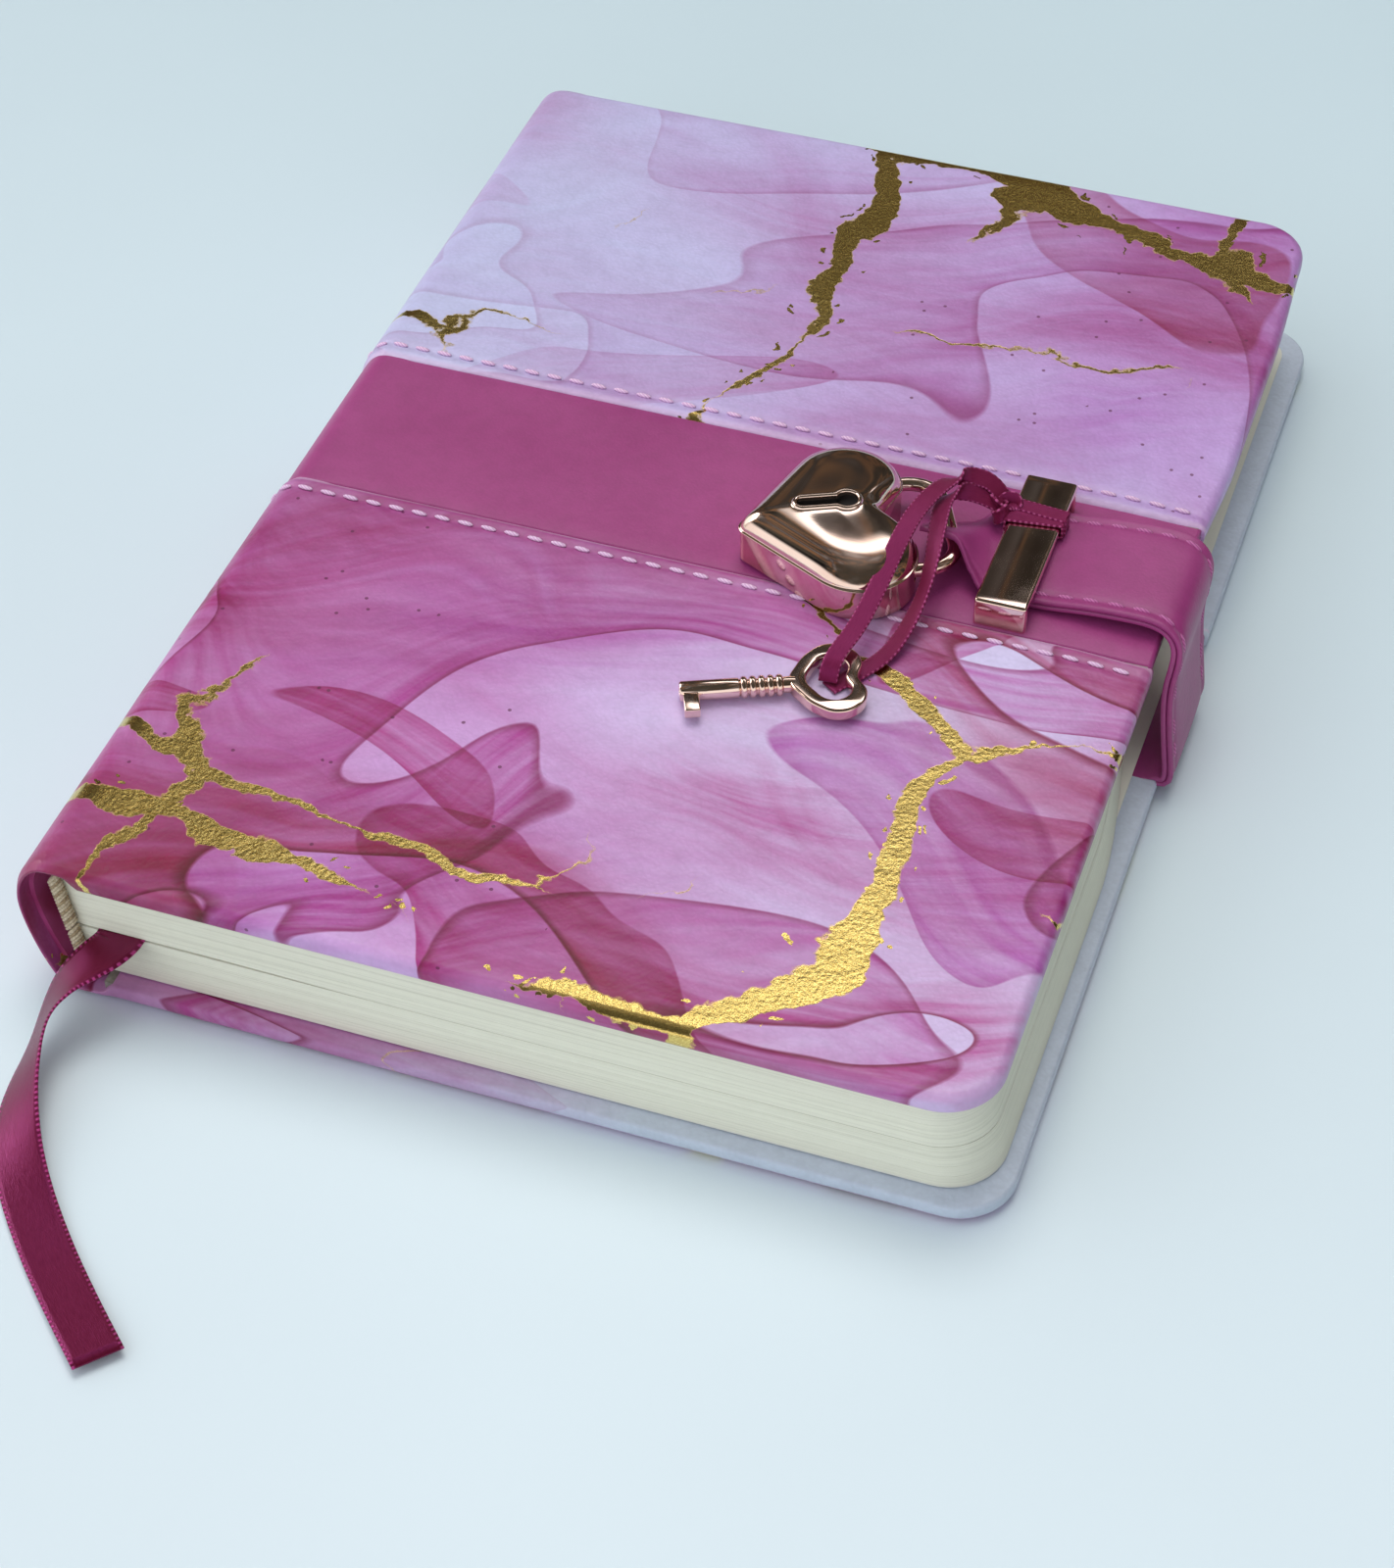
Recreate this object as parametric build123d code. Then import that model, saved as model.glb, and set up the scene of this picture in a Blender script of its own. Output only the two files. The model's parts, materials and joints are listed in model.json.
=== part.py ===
from build123d import *
import math
import os

os.makedirs("parts", exist_ok=True)

# Sizes in millimetres. X runs from the spine to the fore edge, Y from the tail to the head, Z up.

# Book block: the page size drives the case, which stands out past the pages by the squares
page_h = 209.0
page_w = 140.0
page_square = 3.0
fore_square = 2.5
page_hinge_in = 2.5
hinge_out = 1.5
page_corner_r = 9.0
section_t = 2.0
sections_below = 4
sections_above = 5
section_gap = 0.03
fold_r = 0.85
flyleaf_t = 0.25
bookmark_gap = 0.45
cover_clear = 0.06
lining_t = 0.4
lining_margin = 12.0
end_band_w = 2.6
end_band_out = 1.5
end_band_r = 0.6
end_band_clear = 0.05
lean = 3.0

# Case: the cover skins, boards and pastedowns
corner_r = 9.0
panel_t = 1.2
band_t = 0.6
board_t = 1.8
joint_w = 6.6
wrap_t = 0.9
band_wrap_t = 0.4
turn_in = 13.0
turn_in_t = 0.35
window_r = 2.0
paste_t = 0.2
paste_inset = 4.0
paste_hinge_in = 1.5
skin_edge_r = 0.8
band_edge_r = 0.3
band_lo = -13.0
band_hi = 21.0
band_under = 8.0
hinge_gap = 0.04
lay_gap = 0.02

# Stitch rows beside the band
stitch_in = 3.2
stitch_start = 2.0
stitch_stop = 3.0
stitch_pitch = 4.0
stitch_len = 2.8
stitch_w = 0.7
stitch_t = 0.3
groove_w = 1.0
groove_depth = 0.36

# Spine
spine_bulge = 5.8
spine_bulge_drop = 8.67
liner_t = 0.8
liner_low = 4.0
liner_high = 4.0
liner_end = 3.0

# Strap
strap_w = 22.5
strap_layer_t = 0.95
strap_base_y = -1.5
strap_top_y = 4.2
strap_stand = 3.5
strap_clear = 0.1
strap_top_clear = 0.35
strap_half_gap = 0.01
tab_l = 12.0
tab_end = 0.25

# Keeper
keeper_in = 24.9
keeper_off = 0.8
keeper_l = 32.4
keeper_w = 8.4
keeper_bar_t = 1.6
keeper_leg_t = 1.8
keeper_rise = 5.0
keeper_edge_r = 0.7
prong_w = 3.0
prong_t = 1.0
prong_clear = 0.05
plate_w = 6.0
plate_l = 5.0
plate_t = 0.3

# Padlock, in its own frame: U from the tip to the lobes, V across
lock_in = 27.0
lock_drop = 5.8
lock_turn = 25.0
lock_rest = 0.05
lobe_r = 9.0
lobe_v = 8.2
tip_u = -18.5
cleft_u = 4.2
cup_h = 5.6
cup_wall = 0.8
cup_floor = 0.8
dome_h = 3.4
dome_wall = 0.7
seam_gap = 0.02
rod_r = 1.15
rod_v = 10.5
rod_z = 3.6
crown_u = 15.6
crown_r = 5.5
pivot_u = 3.0
eye_wall = 0.55
pin_r = 0.9
pin_clear = 0.06
pin_seat = 0.4
pin_top_gap = 0.2
rod_clear = 0.25
leg_slot_extra = 0.7
notch_depth = 0.95
notch_clear = 0.15
free_leg_l = 2.2
hole_u = -1.0
keyhole_r = 1.7
slot_w = 1.9
slot_l = 7.0
rim_w = 0.8
rim_h = 0.6
post_r = 0.55
post_out = 1.2
bolt_u = 0.8
bolt_w = 2.6
bolt_t = 1.6
bolt_l = 6.5
bolt_back = 0.6
bolt_throw = 1.1
guide_w = 0.8
guide_clear = 0.08
rivet_r = 0.9
rivet_seat = 0.3
rivet_tip_in = 6.0
rivet_lobe_u = -3.0
rivet_lobe_out = 3.3
swing_deg = 70.0

# Key, in its own frame: U from the barrel end to the bow
key_in = 41.3
key_drop = 48.0
key_rest = 0.05
key_turn = 24.0
barrel_r = 1.35
barrel_bore = 0.7
barrel_l = 9.0
bore_l = 7.0
barrel_in = 0.8
collar_r = 1.8
collar_l = 1.0
collar_pitch = 1.35
collars = 5
neck_l = 7.6
bow_r = 4.3
bow_v = 3.4
bow_len = 11.5
bow_wall = 2.2
bow_t = 2.2
bit_w = 2.4
bit_reach = 5.2
bit_t = 1.6

# Ribbons
key_ribbon_w = 3.0
key_ribbon_t = 0.4
knot_off = 6.0
knot_clear = 0.1
knot_t = 0.6
bookmark_w = 7.5
bookmark_t = 0.3

# Heights that follow from the sizes above
board_z = panel_t
inner_z = panel_t + board_t
flange_z = inner_z + turn_in_t
cover_t = flange_z + paste_t
below_z = cover_t + cover_clear + flyleaf_t
split_lo = below_z + sections_below * section_t
split_hi = split_lo + bookmark_gap
above_z = split_hi + sections_above * section_t
book_t = above_z + flyleaf_t + cover_clear + cover_t
slope = -lean / (above_z - below_z)
band_top = book_t - panel_t + band_t
page_half = page_h / 2.0
half_h = page_half + page_square
far = 2.0 * page_h

# Places that follow from the sizes above
hinge_x = -page_w / 2.0 - hinge_out
block_x0 = hinge_x + page_hinge_in
back_fore_x = block_x0 + page_w + fore_square
front_fore_x = back_fore_x - lean
board_w = back_fore_x - wrap_t - hinge_x - joint_w
keeper_x = front_fore_x - keeper_in
keeper_y = strap_top_y - keeper_off
lock_x = keeper_x - lock_in
lock_y = keeper_y - lock_drop
key_x = keeper_x - key_in
key_y = keeper_y - key_drop


def keep(name, shape):
    export_step(shape, f"parts/{name}.step")


def outline(x0, x1, half, radius):
    flat = Pos((x0 + x1) / 2.0, 0.0) * Rectangle(x1 - x0, 2.0 * half)
    return fillet(flat.vertices().group_by(Axis.X)[-1], radius)


def slab(flat, z0, z1):
    return Pos(0, 0, z0) * extrude(flat, amount=z1 - z0)


def block(x0, x1, y0, y1, z0, z1):
    centre = Pos((x0 + x1) / 2.0, (y0 + y1) / 2.0, (z0 + z1) / 2.0)
    return centre * Box(x1 - x0, y1 - y0, z1 - z0)


def rounded_edges(shape, z, radius):
    edges = shape.edges().filter_by_position(Axis.Z, z - 0.01, z + 0.01)
    edges = edges.filter_by(lambda edge: edge.center().X > hinge_x + 2.0)
    return fillet(edges, radius)


def flip(shape):
    return mirror(shape, about=Plane.XY.offset(book_t / 2.0))


# Cover: built as the back cover, outside face at the bottom
def cover(fore_x):
    board_x0 = fore_x - wrap_t - board_w
    board_flat = outline(board_x0, fore_x - wrap_t, half_h - wrap_t, corner_r - wrap_t)
    board = slab(board_flat, board_z, inner_z)
    window = slab(outline(board_x0, fore_x - turn_in, half_h - turn_in, window_r), inner_z, far)
    joint = block(-far, board_x0, -far, far, board_z, far)

    skin = slab(outline(hinge_x + hinge_gap, fore_x, half_h, corner_r), 0.0, flange_z)
    skin = rounded_edges(skin, 0.0, skin_edge_r)
    skin = rounded_edges(skin, flange_z, band_edge_r)
    skin = skin - board - window - joint

    inset = wrap_t - band_wrap_t
    strip_flat = outline(hinge_x + hinge_gap, fore_x - inset, half_h, corner_r)
    band = slab(strip_flat, panel_t - band_t, flange_z)
    band = rounded_edges(band, panel_t - band_t, band_edge_r)
    band = band & block(-far, far, band_lo - band_under, band_hi + band_under, -far, far)
    band = band - board - window - joint

    upper = skin & block(-far, far, band_hi, far, -far, far)
    lower = skin & block(-far, far, -far, band_lo, -far, far)
    upper = upper - band
    lower = lower - band
    groove_hi = band_hi + stitch_in
    groove_lo = band_lo - stitch_in
    upper = upper - block(-far, far, groove_hi - groove_w / 2, groove_hi + groove_w / 2, -far, groove_depth)
    lower = lower - block(-far, far, groove_lo - groove_w / 2, groove_lo + groove_w / 2, -far, groove_depth)

    paste_x0 = hinge_x + paste_hinge_in
    paste_flat = outline(paste_x0, fore_x - paste_inset, half_h - paste_inset, corner_r - paste_inset)
    paste = slab(paste_flat, flange_z, cover_t)
    fill_flat = outline(board_x0, fore_x - turn_in - lay_gap, half_h - turn_in - lay_gap, window_r)
    paste = paste + slab(fill_flat, inner_z, flange_z)

    stitches = []
    count = int((fore_x - stitch_stop - hinge_x - stitch_start) / stitch_pitch)
    for y in (groove_lo, groove_hi):
        for i in range(count):
            x = hinge_x + stitch_start + stitch_pitch * i
            z0 = groove_depth - stitch_t
            stitches.append(block(x, x + stitch_len, y - stitch_w / 2, y + stitch_w / 2, z0, groove_depth))
    return board, upper, band, lower, paste, stitches


back_board, back_upper, back_band, back_lower, back_paste, back_stitches = cover(back_fore_x)
front_set = cover(front_fore_x)
front_board, front_upper, front_band, front_lower, front_paste = [flip(s) for s in front_set[:5]]
front_stitches = [flip(s) for s in front_set[5]]

# Keeper: a metal bridge over the strap, clinched through the front cover
bar_top = band_top + keeper_rise
bar = block(
    keeper_x - keeper_w / 2, keeper_x + keeper_w / 2,
    keeper_y - keeper_l / 2, keeper_y + keeper_l / 2,
    band_top, bar_top,
)
bar = fillet(bar.edges().group_by(Axis.Z)[-1], keeper_edge_r)
gap_half = keeper_l / 2 - keeper_leg_t
bar = bar - block(
    keeper_x - keeper_w, keeper_x + keeper_w,
    keeper_y - gap_half, keeper_y + gap_half,
    band_top - 1.0, bar_top - keeper_bar_t,
)
plate_z = book_t - inner_z - plate_t
plates = []
for side in (-1, 1):
    leg_y = keeper_y + side * (keeper_l / 2 - keeper_leg_t / 2)
    prong = block(
        keeper_x - prong_w / 2, keeper_x + prong_w / 2,
        leg_y - prong_t / 2, leg_y + prong_t / 2,
        plate_z, band_top + 0.2,
    )
    bar = bar + prong
    shaft = block(
        keeper_x - prong_w / 2 - prong_clear, keeper_x + prong_w / 2 + prong_clear,
        leg_y - prong_t / 2 - prong_clear, leg_y + prong_t / 2 + prong_clear,
        plate_z - 1.0, band_top + 1.0,
    )
    plate = block(
        keeper_x - plate_l / 2, keeper_x + plate_l / 2,
        leg_y - plate_w / 2, leg_y + plate_w / 2,
        plate_z, plate_z + plate_t,
    )
    bed = block(
        keeper_x - plate_l / 2 - lay_gap, keeper_x + plate_l / 2 + lay_gap,
        leg_y - plate_w / 2 - lay_gap, leg_y + plate_w / 2 + lay_gap,
        plate_z - lay_gap, plate_z + plate_t,
    )
    plates.append(plate - shaft)
    front_band = front_band - shaft
    front_upper = front_upper - shaft
    front_lower = front_lower - shaft
    front_board = front_board - shaft
    front_paste = front_paste - bed

# Spine: one soft curve from the front joint over the bulge to the back joint
curve = [
    ((hinge_x, book_t), (-9.0, 0.0)),
    ((hinge_x - spine_bulge, book_t - spine_bulge_drop), (0.0, -13.0)),
    ((hinge_x, 0.0), (9.0, -9.0)),
]


def curve_points(depth):
    points = []
    for (p0, m0), (p1, m1) in zip(curve, curve[1:]):
        for i in range(6):
            t = i / 6.0
            a = 2 * t**3 - 3 * t**2 + 1
            b = t**3 - 2 * t**2 + t
            c = -2 * t**3 + 3 * t**2
            d = t**3 - t**2
            da = 6 * t**2 - 6 * t
            db = 3 * t**2 - 4 * t + 1
            dc = -6 * t**2 + 6 * t
            dd = 3 * t**2 - 2 * t
            x = a * p0[0] + b * m0[0] + c * p1[0] + d * m1[0]
            z = a * p0[1] + b * m0[1] + c * p1[1] + d * m1[1]
            dx = da * p0[0] + db * m0[0] + dc * p1[0] + dd * m1[0]
            dz = da * p0[1] + db * m0[1] + dc * p1[1] + dd * m1[1]
            size = math.hypot(dx, dz)
            points.append((x - depth * dz / size, 0.0, z + depth * dx / size))
    end, slope_end = curve[-1]
    size = math.hypot(*slope_end)
    points.append((end[0] - depth * slope_end[1] / size, 0.0, end[1] + depth * slope_end[0] / size))
    return points


def spine_layer(depth0, depth1, y0, y1):
    outer = curve_points(depth0)
    inner = curve_points(depth1)
    loop = Spline(*outer) + Line(outer[-1], inner[-1]) + Spline(*reversed(inner)) + Line(inner[0], outer[0])
    face = make_face(loop)
    solid = Pos(0, y0, 0) * extrude(face, amount=y1 - y0, dir=(0, 1, 0))
    return solid & block(-far, hinge_x, -far, far, 0.0, book_t)


spine_band = spine_layer(panel_t - band_t, panel_t, band_lo - band_under, band_hi + band_under)
spine_upper = spine_layer(0.0, panel_t, band_hi, half_h) - spine_band
spine_lower = spine_layer(0.0, panel_t, -half_h, band_lo) - spine_band
spine_liner = spine_layer(panel_t, panel_t + liner_t, -half_h + liner_end, half_h - liner_end)
spine_liner = spine_liner & block(-far, far, -far, far, liner_low, book_t - liner_high)

# Book block: sewn sections, each leaning a little toward the spine at the top
rise = Vector(slope, 0, 1).normalized()


def block_x(z):
    return block_x0 + slope * (z - below_z)


def leaves(z0, z1, radius):
    x0 = block_x(z0)
    flat = outline(x0, x0 + page_w, page_half, page_corner_r)
    solid = Pos(0, 0, z0) * extrude(flat, amount=(z1 - z0) / rise.Z, dir=rise)
    if radius > 0:
        folds = solid.edges().filter_by(Axis.Y).sort_by(Axis.X)[:2]
        solid = fillet(folds, radius)
    return solid


sections = []
for i in range(sections_below + sections_above):
    z = below_z + i * section_t
    if i >= sections_below:
        z = z + bookmark_gap
    sections.append(leaves(z, z + section_t - section_gap, fold_r))
back_flyleaf = leaves(below_z - flyleaf_t, below_z - lay_gap, 0)
front_flyleaf = leaves(above_z + lay_gap, above_z + flyleaf_t, 0)


def lining(z0, z1):
    low = (block_x(z0), 0.0, z0)
    high = (block_x(z1), 0.0, z1)
    low_out = (low[0] - lining_t, 0.0, z0)
    high_out = (high[0] - lining_t, 0.0, z1)
    face = make_face(Polyline(low, high, high_out, low_out, close=True))
    length = page_h - 2 * lining_margin
    return Pos(0, -length / 2, 0) * extrude(face, amount=length, dir=(0, 1, 0))


lining_low = lining(below_z, split_lo)
lining_high = lining(split_hi, above_z)


def end_band(z0, z1, side):
    x_low = block_x(z0) - lining_t
    x_high = block_x(z1) - lining_t
    face = make_face(Polyline(
        (x_low, 0.0, z0), (x_low + end_band_w, 0.0, z0),
        (x_high + end_band_w, 0.0, z1), (x_high, 0.0, z1), close=True,
    ))
    bead = extrude(face, amount=end_band_out, dir=(0, 1, 0))
    bead = fillet(bead.edges().filter_by(lambda e: abs(e.tangent_at(0.5).Z) > 0.9), end_band_r)
    start = page_half + end_band_clear
    if side < 0:
        start = -page_half - end_band_clear - end_band_out
    return Pos(0, start, 0) * bead


tail_low = end_band(below_z, split_lo, -1)
tail_high = end_band(split_hi, above_z, -1)
head_low = end_band(below_z, split_lo, 1)
head_high = end_band(split_hi, above_z, 1)


# Flat bands and ribbons follow stations: middle point, direction across, direction out of the flat
def sheet(stations, depth0, depth1):
    wires = []
    for middle, across, out, width in stations:
        m = Vector(*middle)
        a = Vector(*across).normalized() * (width / 2.0)
        n = Vector(*out).normalized()
        low = n * depth0
        high = n * depth1
        wires.append(Wire.make_polygon([m - a + low, m + a + low, m + a + high, m - a + high], close=True))
    return Part() + Solid.make_loft(wires, True)


def path_stations(points, width, across_list):
    stations = []
    for i, point in enumerate(points):
        before = Vector(*points[max(i - 1, 0)])
        after = Vector(*points[min(i + 1, len(points) - 1)])
        along = (after - before).normalized()
        across = Vector(*across_list[i])
        across = (across - along * along.dot(across)).normalized()
        out = along.cross(across)
        stations.append((point, tuple(across), tuple(out), width))
    return stations


# Strap: out of the back cover, up the fore edge, over the front cover and under the keeper
strap_t = 2 * strap_layer_t
under_bar_z = band_top + strap_top_clear + strap_t / 2.0
base_z = flange_z + strap_t / 2.0 + strap_clear
riser_mid = back_fore_x + strap_stand - strap_t / 2.0
riser_route = [
    (back_fore_x + 0.3, base_z),
    (back_fore_x + 1.4, base_z + 0.25),
    (riser_mid - 0.75, base_z + 1.6),
    (riser_mid, base_z + 4.4),
    (riser_mid, base_z + 8.0),
    (riser_mid - 0.5, book_t - 8.0),
    (riser_mid - 1.2, book_t - 3.4),
    (riser_mid - 2.3, book_t - 0.4),
    (riser_mid - 4.3, book_t + 1.6),
]
tongue_route = [
    (riser_mid - 7.0, book_t + 2.4),
    (riser_mid - 11.0, book_t + 2.3),
    (keeper_x + 12.0, under_bar_z + 1.0),
    (keeper_x + 6.0, under_bar_z + 0.1),
    (keeper_x, under_bar_z),
    (keeper_x - 5.0, under_bar_z + 0.1),
]
route = riser_route + tongue_route


def strap_y(i):
    share = min(max((i - 2) / 7.0, 0.0), 1.0)
    return strap_base_y + (strap_top_y - strap_base_y) * share


strap_points = [(x, strap_y(i), z) for i, (x, z) in enumerate(route)]
strap_stations = path_stations(strap_points, strap_w, [(0, 1, 0)] * len(strap_points))

# The pointed tongue turns on edge so that one margin passes over the shackle and one below it
lock_z = book_t + lock_rest
shackle_z = lock_z + rod_z
tip = [
    ((keeper_x - 7.5, strap_top_y, under_bar_z + 1.2), 8.0, 18.5),
    ((keeper_x - 10.0, strap_top_y - 0.6, shackle_z - 0.9), 28.0, 14.0),
    ((keeper_x - 13.0, strap_top_y - 1.6, shackle_z - 0.3), 33.0, 12.0),
    ((keeper_x - 16.5, strap_top_y - 2.4, shackle_z - 0.2), 33.0, 6.0),
]
flat_stations = []
for m, a, o, w in strap_stations:
    out = Vector(*o)
    if out.X + out.Z < 0:
        out = out * -1
    flat_stations.append((m, a, tuple(out), w))
flat_stations[0] = (strap_points[0], (0, 1, 0), (0, 0, -1), strap_w)
flat_stations[1] = (strap_points[1], (0, 1, 0), (0.5, 0, -0.87), strap_w)
riser = flat_stations[:len(riser_route)]
tongue = flat_stations[len(riser_route) - 1:]
for middle, roll, width in tip:
    angle = math.radians(roll)
    tilt = (math.cos(angle), math.sin(angle))
    tongue.append((middle, (0, tilt[0], -tilt[1]), (0, tilt[1], tilt[0]), width))

riser_outer = sheet(riser, strap_half_gap, strap_layer_t)
riser_lining = sheet(riser, -strap_layer_t, -strap_half_gap)
tongue_outer = sheet(tongue, strap_half_gap, strap_layer_t)
tongue_lining = sheet(tongue[:-len(tip)], -strap_layer_t, -strap_half_gap)
strap_tab = block(
    back_fore_x - tab_l, back_fore_x + tab_end,
    strap_base_y - strap_w / 2, strap_base_y + strap_w / 2,
    inner_z, flange_z - lay_gap,
)
tab_bed = block(
    back_fore_x - tab_l - lay_gap, far,
    strap_base_y - strap_w / 2 - lay_gap, strap_base_y + strap_w / 2 + lay_gap,
    inner_z, far,
)
back_band = back_band - tab_bed
back_lower = back_lower - tab_bed
back_upper = back_upper - tab_bed


# Padlock
def heart(scale):
    middle_u = -2.5
    reach = math.hypot(tip_u, lobe_v)
    touch = math.sqrt(reach**2 - lobe_r**2)
    lift = math.atan2(lobe_v, -tip_u) + math.asin(lobe_r / reach)
    side = (tip_u + touch * math.cos(lift), touch * math.sin(lift))
    top_angle = math.radians(48.0)
    crest = (lobe_r * math.cos(top_angle), lobe_v + lobe_r * math.sin(top_angle))
    shoulder = (lobe_r * math.cos(math.radians(-12.0)), lobe_v + lobe_r * math.sin(math.radians(-12.0)))
    nose = 2.2
    nose_u = tip_u + nose / math.sin(lift) - nose
    nose_side = (tip_u + nose / math.tan(lift) * math.cos(lift), nose / math.tan(lift) * math.sin(lift))

    def at(point):
        return (middle_u + (point[0] - middle_u) * scale, point[1] * scale)

    def low(point):
        return (point[0], -point[1])

    edges = [
        ThreePointArc(at(low(nose_side)), at((nose_u, 0.0)), at(nose_side)),
        Line(at(nose_side), at(side)),
        ThreePointArc(at(side), at(crest), at(shoulder)),
        Line(at(shoulder), at((cleft_u, 0.0))),
        Line(at((cleft_u, 0.0)), at(low(shoulder))),
        ThreePointArc(at(low(shoulder)), at(low(crest)), at(low(side))),
        Line(at(low(side)), at(low(nose_side))),
    ]
    return Wire(edges)


def heart_prism(scale, z0, z1):
    return Part() + Pos(0, 0, z0) * Solid.extrude(Face(heart(scale)), Vector(0, 0, z1 - z0))


def heart_dome(levels):
    solid = None
    for (s0, z0), (s1, z1) in zip(levels, levels[1:]):
        lower_wire = heart(s0).moved(Location((0, 0, z0)))
        upper_wire = heart(s1).moved(Location((0, 0, z1)))
        piece = Part() + Solid.make_loft([lower_wire, upper_wire], True)
        solid = piece if solid is None else solid + piece
    return solid


wall_scale = 1.0 - cup_wall / lobe_r * 0.62
cup = heart_prism(1.0, 0.0, cup_h) - heart_prism(wall_scale, cup_floor, cup_h + 1.0)
dome_steps = [(1.0, 0.0), (0.975, 0.22), (0.88, 0.55), (0.74, 0.8), (0.56, 0.95), (0.4, 1.0)]
dome_z = cup_h + seam_gap
dome = heart_dome([(s, dome_z + dome_h * z) for s, z in dome_steps])
inner_h = dome_h - dome_wall
dome = dome - heart_dome([(s * wall_scale, dome_z + inner_h * z) for s, z in dome_steps])
lid_z = cup_h + seam_gap + dome_h
slot_u = hole_u - slot_l / 2.0


def keyhole(grow, z0, z1):
    round_end = Pos(hole_u, 0, (z0 + z1) / 2.0) * Cylinder(keyhole_r + grow, z1 - z0)
    slot = Pos(slot_u, 0, (z0 + z1) / 2.0) * Box(slot_l, slot_w + 2 * grow, z1 - z0)
    slot_end = Pos(hole_u - slot_l, 0, (z0 + z1) / 2.0) * Cylinder(slot_w / 2 + grow, z1 - z0)
    return round_end + slot + slot_end


dome = dome + (keyhole(rim_w, lid_z - 0.5, lid_z + rim_h))
dome = dome - keyhole(0.0, cup_h - 1.0, lid_z + rim_h + 1.0)


def rod_path():
    far_v = rod_v
    crown_cut = crown_r * (1.0 - math.sin(math.pi / 4))
    line_a = Line((pivot_u, far_v, rod_z), (crown_u - crown_r, far_v, rod_z))
    turn_a = ThreePointArc(
        (crown_u - crown_r, far_v, rod_z),
        (crown_u - crown_cut, far_v - crown_cut, rod_z),
        (crown_u, far_v - crown_r, rod_z),
    )
    line_b = Line((crown_u, far_v - crown_r, rod_z), (crown_u, -far_v + crown_r, rod_z))
    turn_b = ThreePointArc(
        (crown_u, -far_v + crown_r, rod_z),
        (crown_u - crown_cut, -far_v + crown_cut, rod_z),
        (crown_u - crown_r, -far_v, rod_z),
    )
    line_c = Line((crown_u - crown_r, -far_v, rod_z), (bolt_u - free_leg_l, -far_v, rod_z))
    return Wire([line_a, turn_a, line_b, turn_b, line_c])


def rod(radius):
    start = Plane(origin=(pivot_u, rod_v, rod_z), z_dir=(1, 0, 0))
    return sweep(start * Circle(radius), path=rod_path())


shackle = rod(rod_r)
eye_r = rod_r + eye_wall
shackle = shackle + Pos(pivot_u, rod_v, rod_z) * Cylinder(eye_r, 2 * rod_r)
shackle = shackle - Pos(pivot_u, rod_v, rod_z) * Cylinder(pin_r + pin_clear, far)
notch = Pos(bolt_u, -rod_v + rod_r, rod_z) * Box(bolt_w + 2 * notch_clear, 2 * notch_depth, 2 * bolt_t)
shackle = shackle - notch

# Slots in the cup for the two legs; the far one is an arc so that the shackle can swing
slot_half = rod_r + rod_clear
slot_reach = 2 * lobe_r
slot_rise = cup_h - rod_z
near_slot = Box(slot_reach, 2 * slot_half + leg_slot_extra, 2 * slot_half + 2 * slot_rise)
cup = cup - Pos(pivot_u + slot_reach / 2, -rod_v + rod_clear, rod_z + slot_rise) * near_slot
sweep_steps = 8
for i in range(sweep_steps + 1):
    angle = swing_deg * i / sweep_steps
    arm = Pos(slot_reach / 2, 0, 0) * Box(slot_reach, 2 * slot_half, 2 * slot_half + 2 * slot_rise)
    cup = cup - Pos(pivot_u, rod_v, rod_z + slot_rise) * Rot(0, 0, angle) * arm
pin_l = cup_h - pin_seat - pin_top_gap
pivot_pin = Pos(pivot_u, rod_v, pin_seat + pin_l / 2.0) * Cylinder(pin_r, pin_l)
cup = cup - pivot_pin

bolt_z = rod_z
bolt_v = -rod_v + rod_r + bolt_back
bolt_mid_v = bolt_v + bolt_l / 2.0
bolt = Pos(bolt_u, bolt_mid_v, bolt_z) * Box(bolt_w, bolt_l, bolt_t)
bolt_notch = Pos(bolt_u - bolt_w / 2, bolt_mid_v + 1.2, bolt_z) * Box(1.4, 2.0, bolt_t + 1)
bolt = bolt - bolt_notch
guide_h = bolt_z + bolt_t / 2 - cup_floor
rail_l = bolt_l - 2.2
for side in (-1, 1):
    rail_u = bolt_u + side * (bolt_w / 2 + guide_clear + guide_w / 2)
    cup = cup + Pos(rail_u, bolt_mid_v + 0.2, cup_floor + guide_h / 2) * Box(guide_w, rail_l, guide_h)
bed_h = bolt_z - bolt_t / 2 - cup_floor - guide_clear
cup = cup + Pos(bolt_u, bolt_mid_v + 0.2, cup_floor + bed_h / 2) * Box(bolt_w + 1.0, rail_l, bed_h)
post_l = cup_h + post_out
key_post = Pos(hole_u, 0, rivet_seat + post_l / 2.0) * Cylinder(post_r, post_l)
cup = cup - key_post
spring_v = bolt_v + bolt_l + bolt_throw - 0.2
detent = Pos(bolt_u + 0.5, spring_v + 1.2, bolt_z) * Box(2.6, 0.25, bolt_t)
detent = detent + Pos(bolt_u + 1.7, spring_v + 2.2, bolt_z) * Box(0.25, 2.2, bolt_t)
detent_base = Pos(bolt_u + 1.7, spring_v + 3.8, cup_floor + (bolt_z + 0.8 - cup_floor) / 2)
detent = detent + detent_base * Box(1.4, 1.2, bolt_z + 0.8 - cup_floor)
rivets = []
rivet_l = cup_h - pin_top_gap
rivet_v = lobe_v + rivet_lobe_out
for u, v in ((tip_u + rivet_tip_in, 0.0), (rivet_lobe_u, rivet_v), (rivet_lobe_u, -rivet_v)):
    post = Pos(u, v, rivet_seat + rivet_l / 2.0) * Cylinder(rivet_r, rivet_l)
    rivets.append(post)
    cup = cup - post

lock_at = Location((lock_x, lock_y, lock_z), (0, 0, lock_turn))


def placed(shape):
    return lock_at * shape


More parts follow.
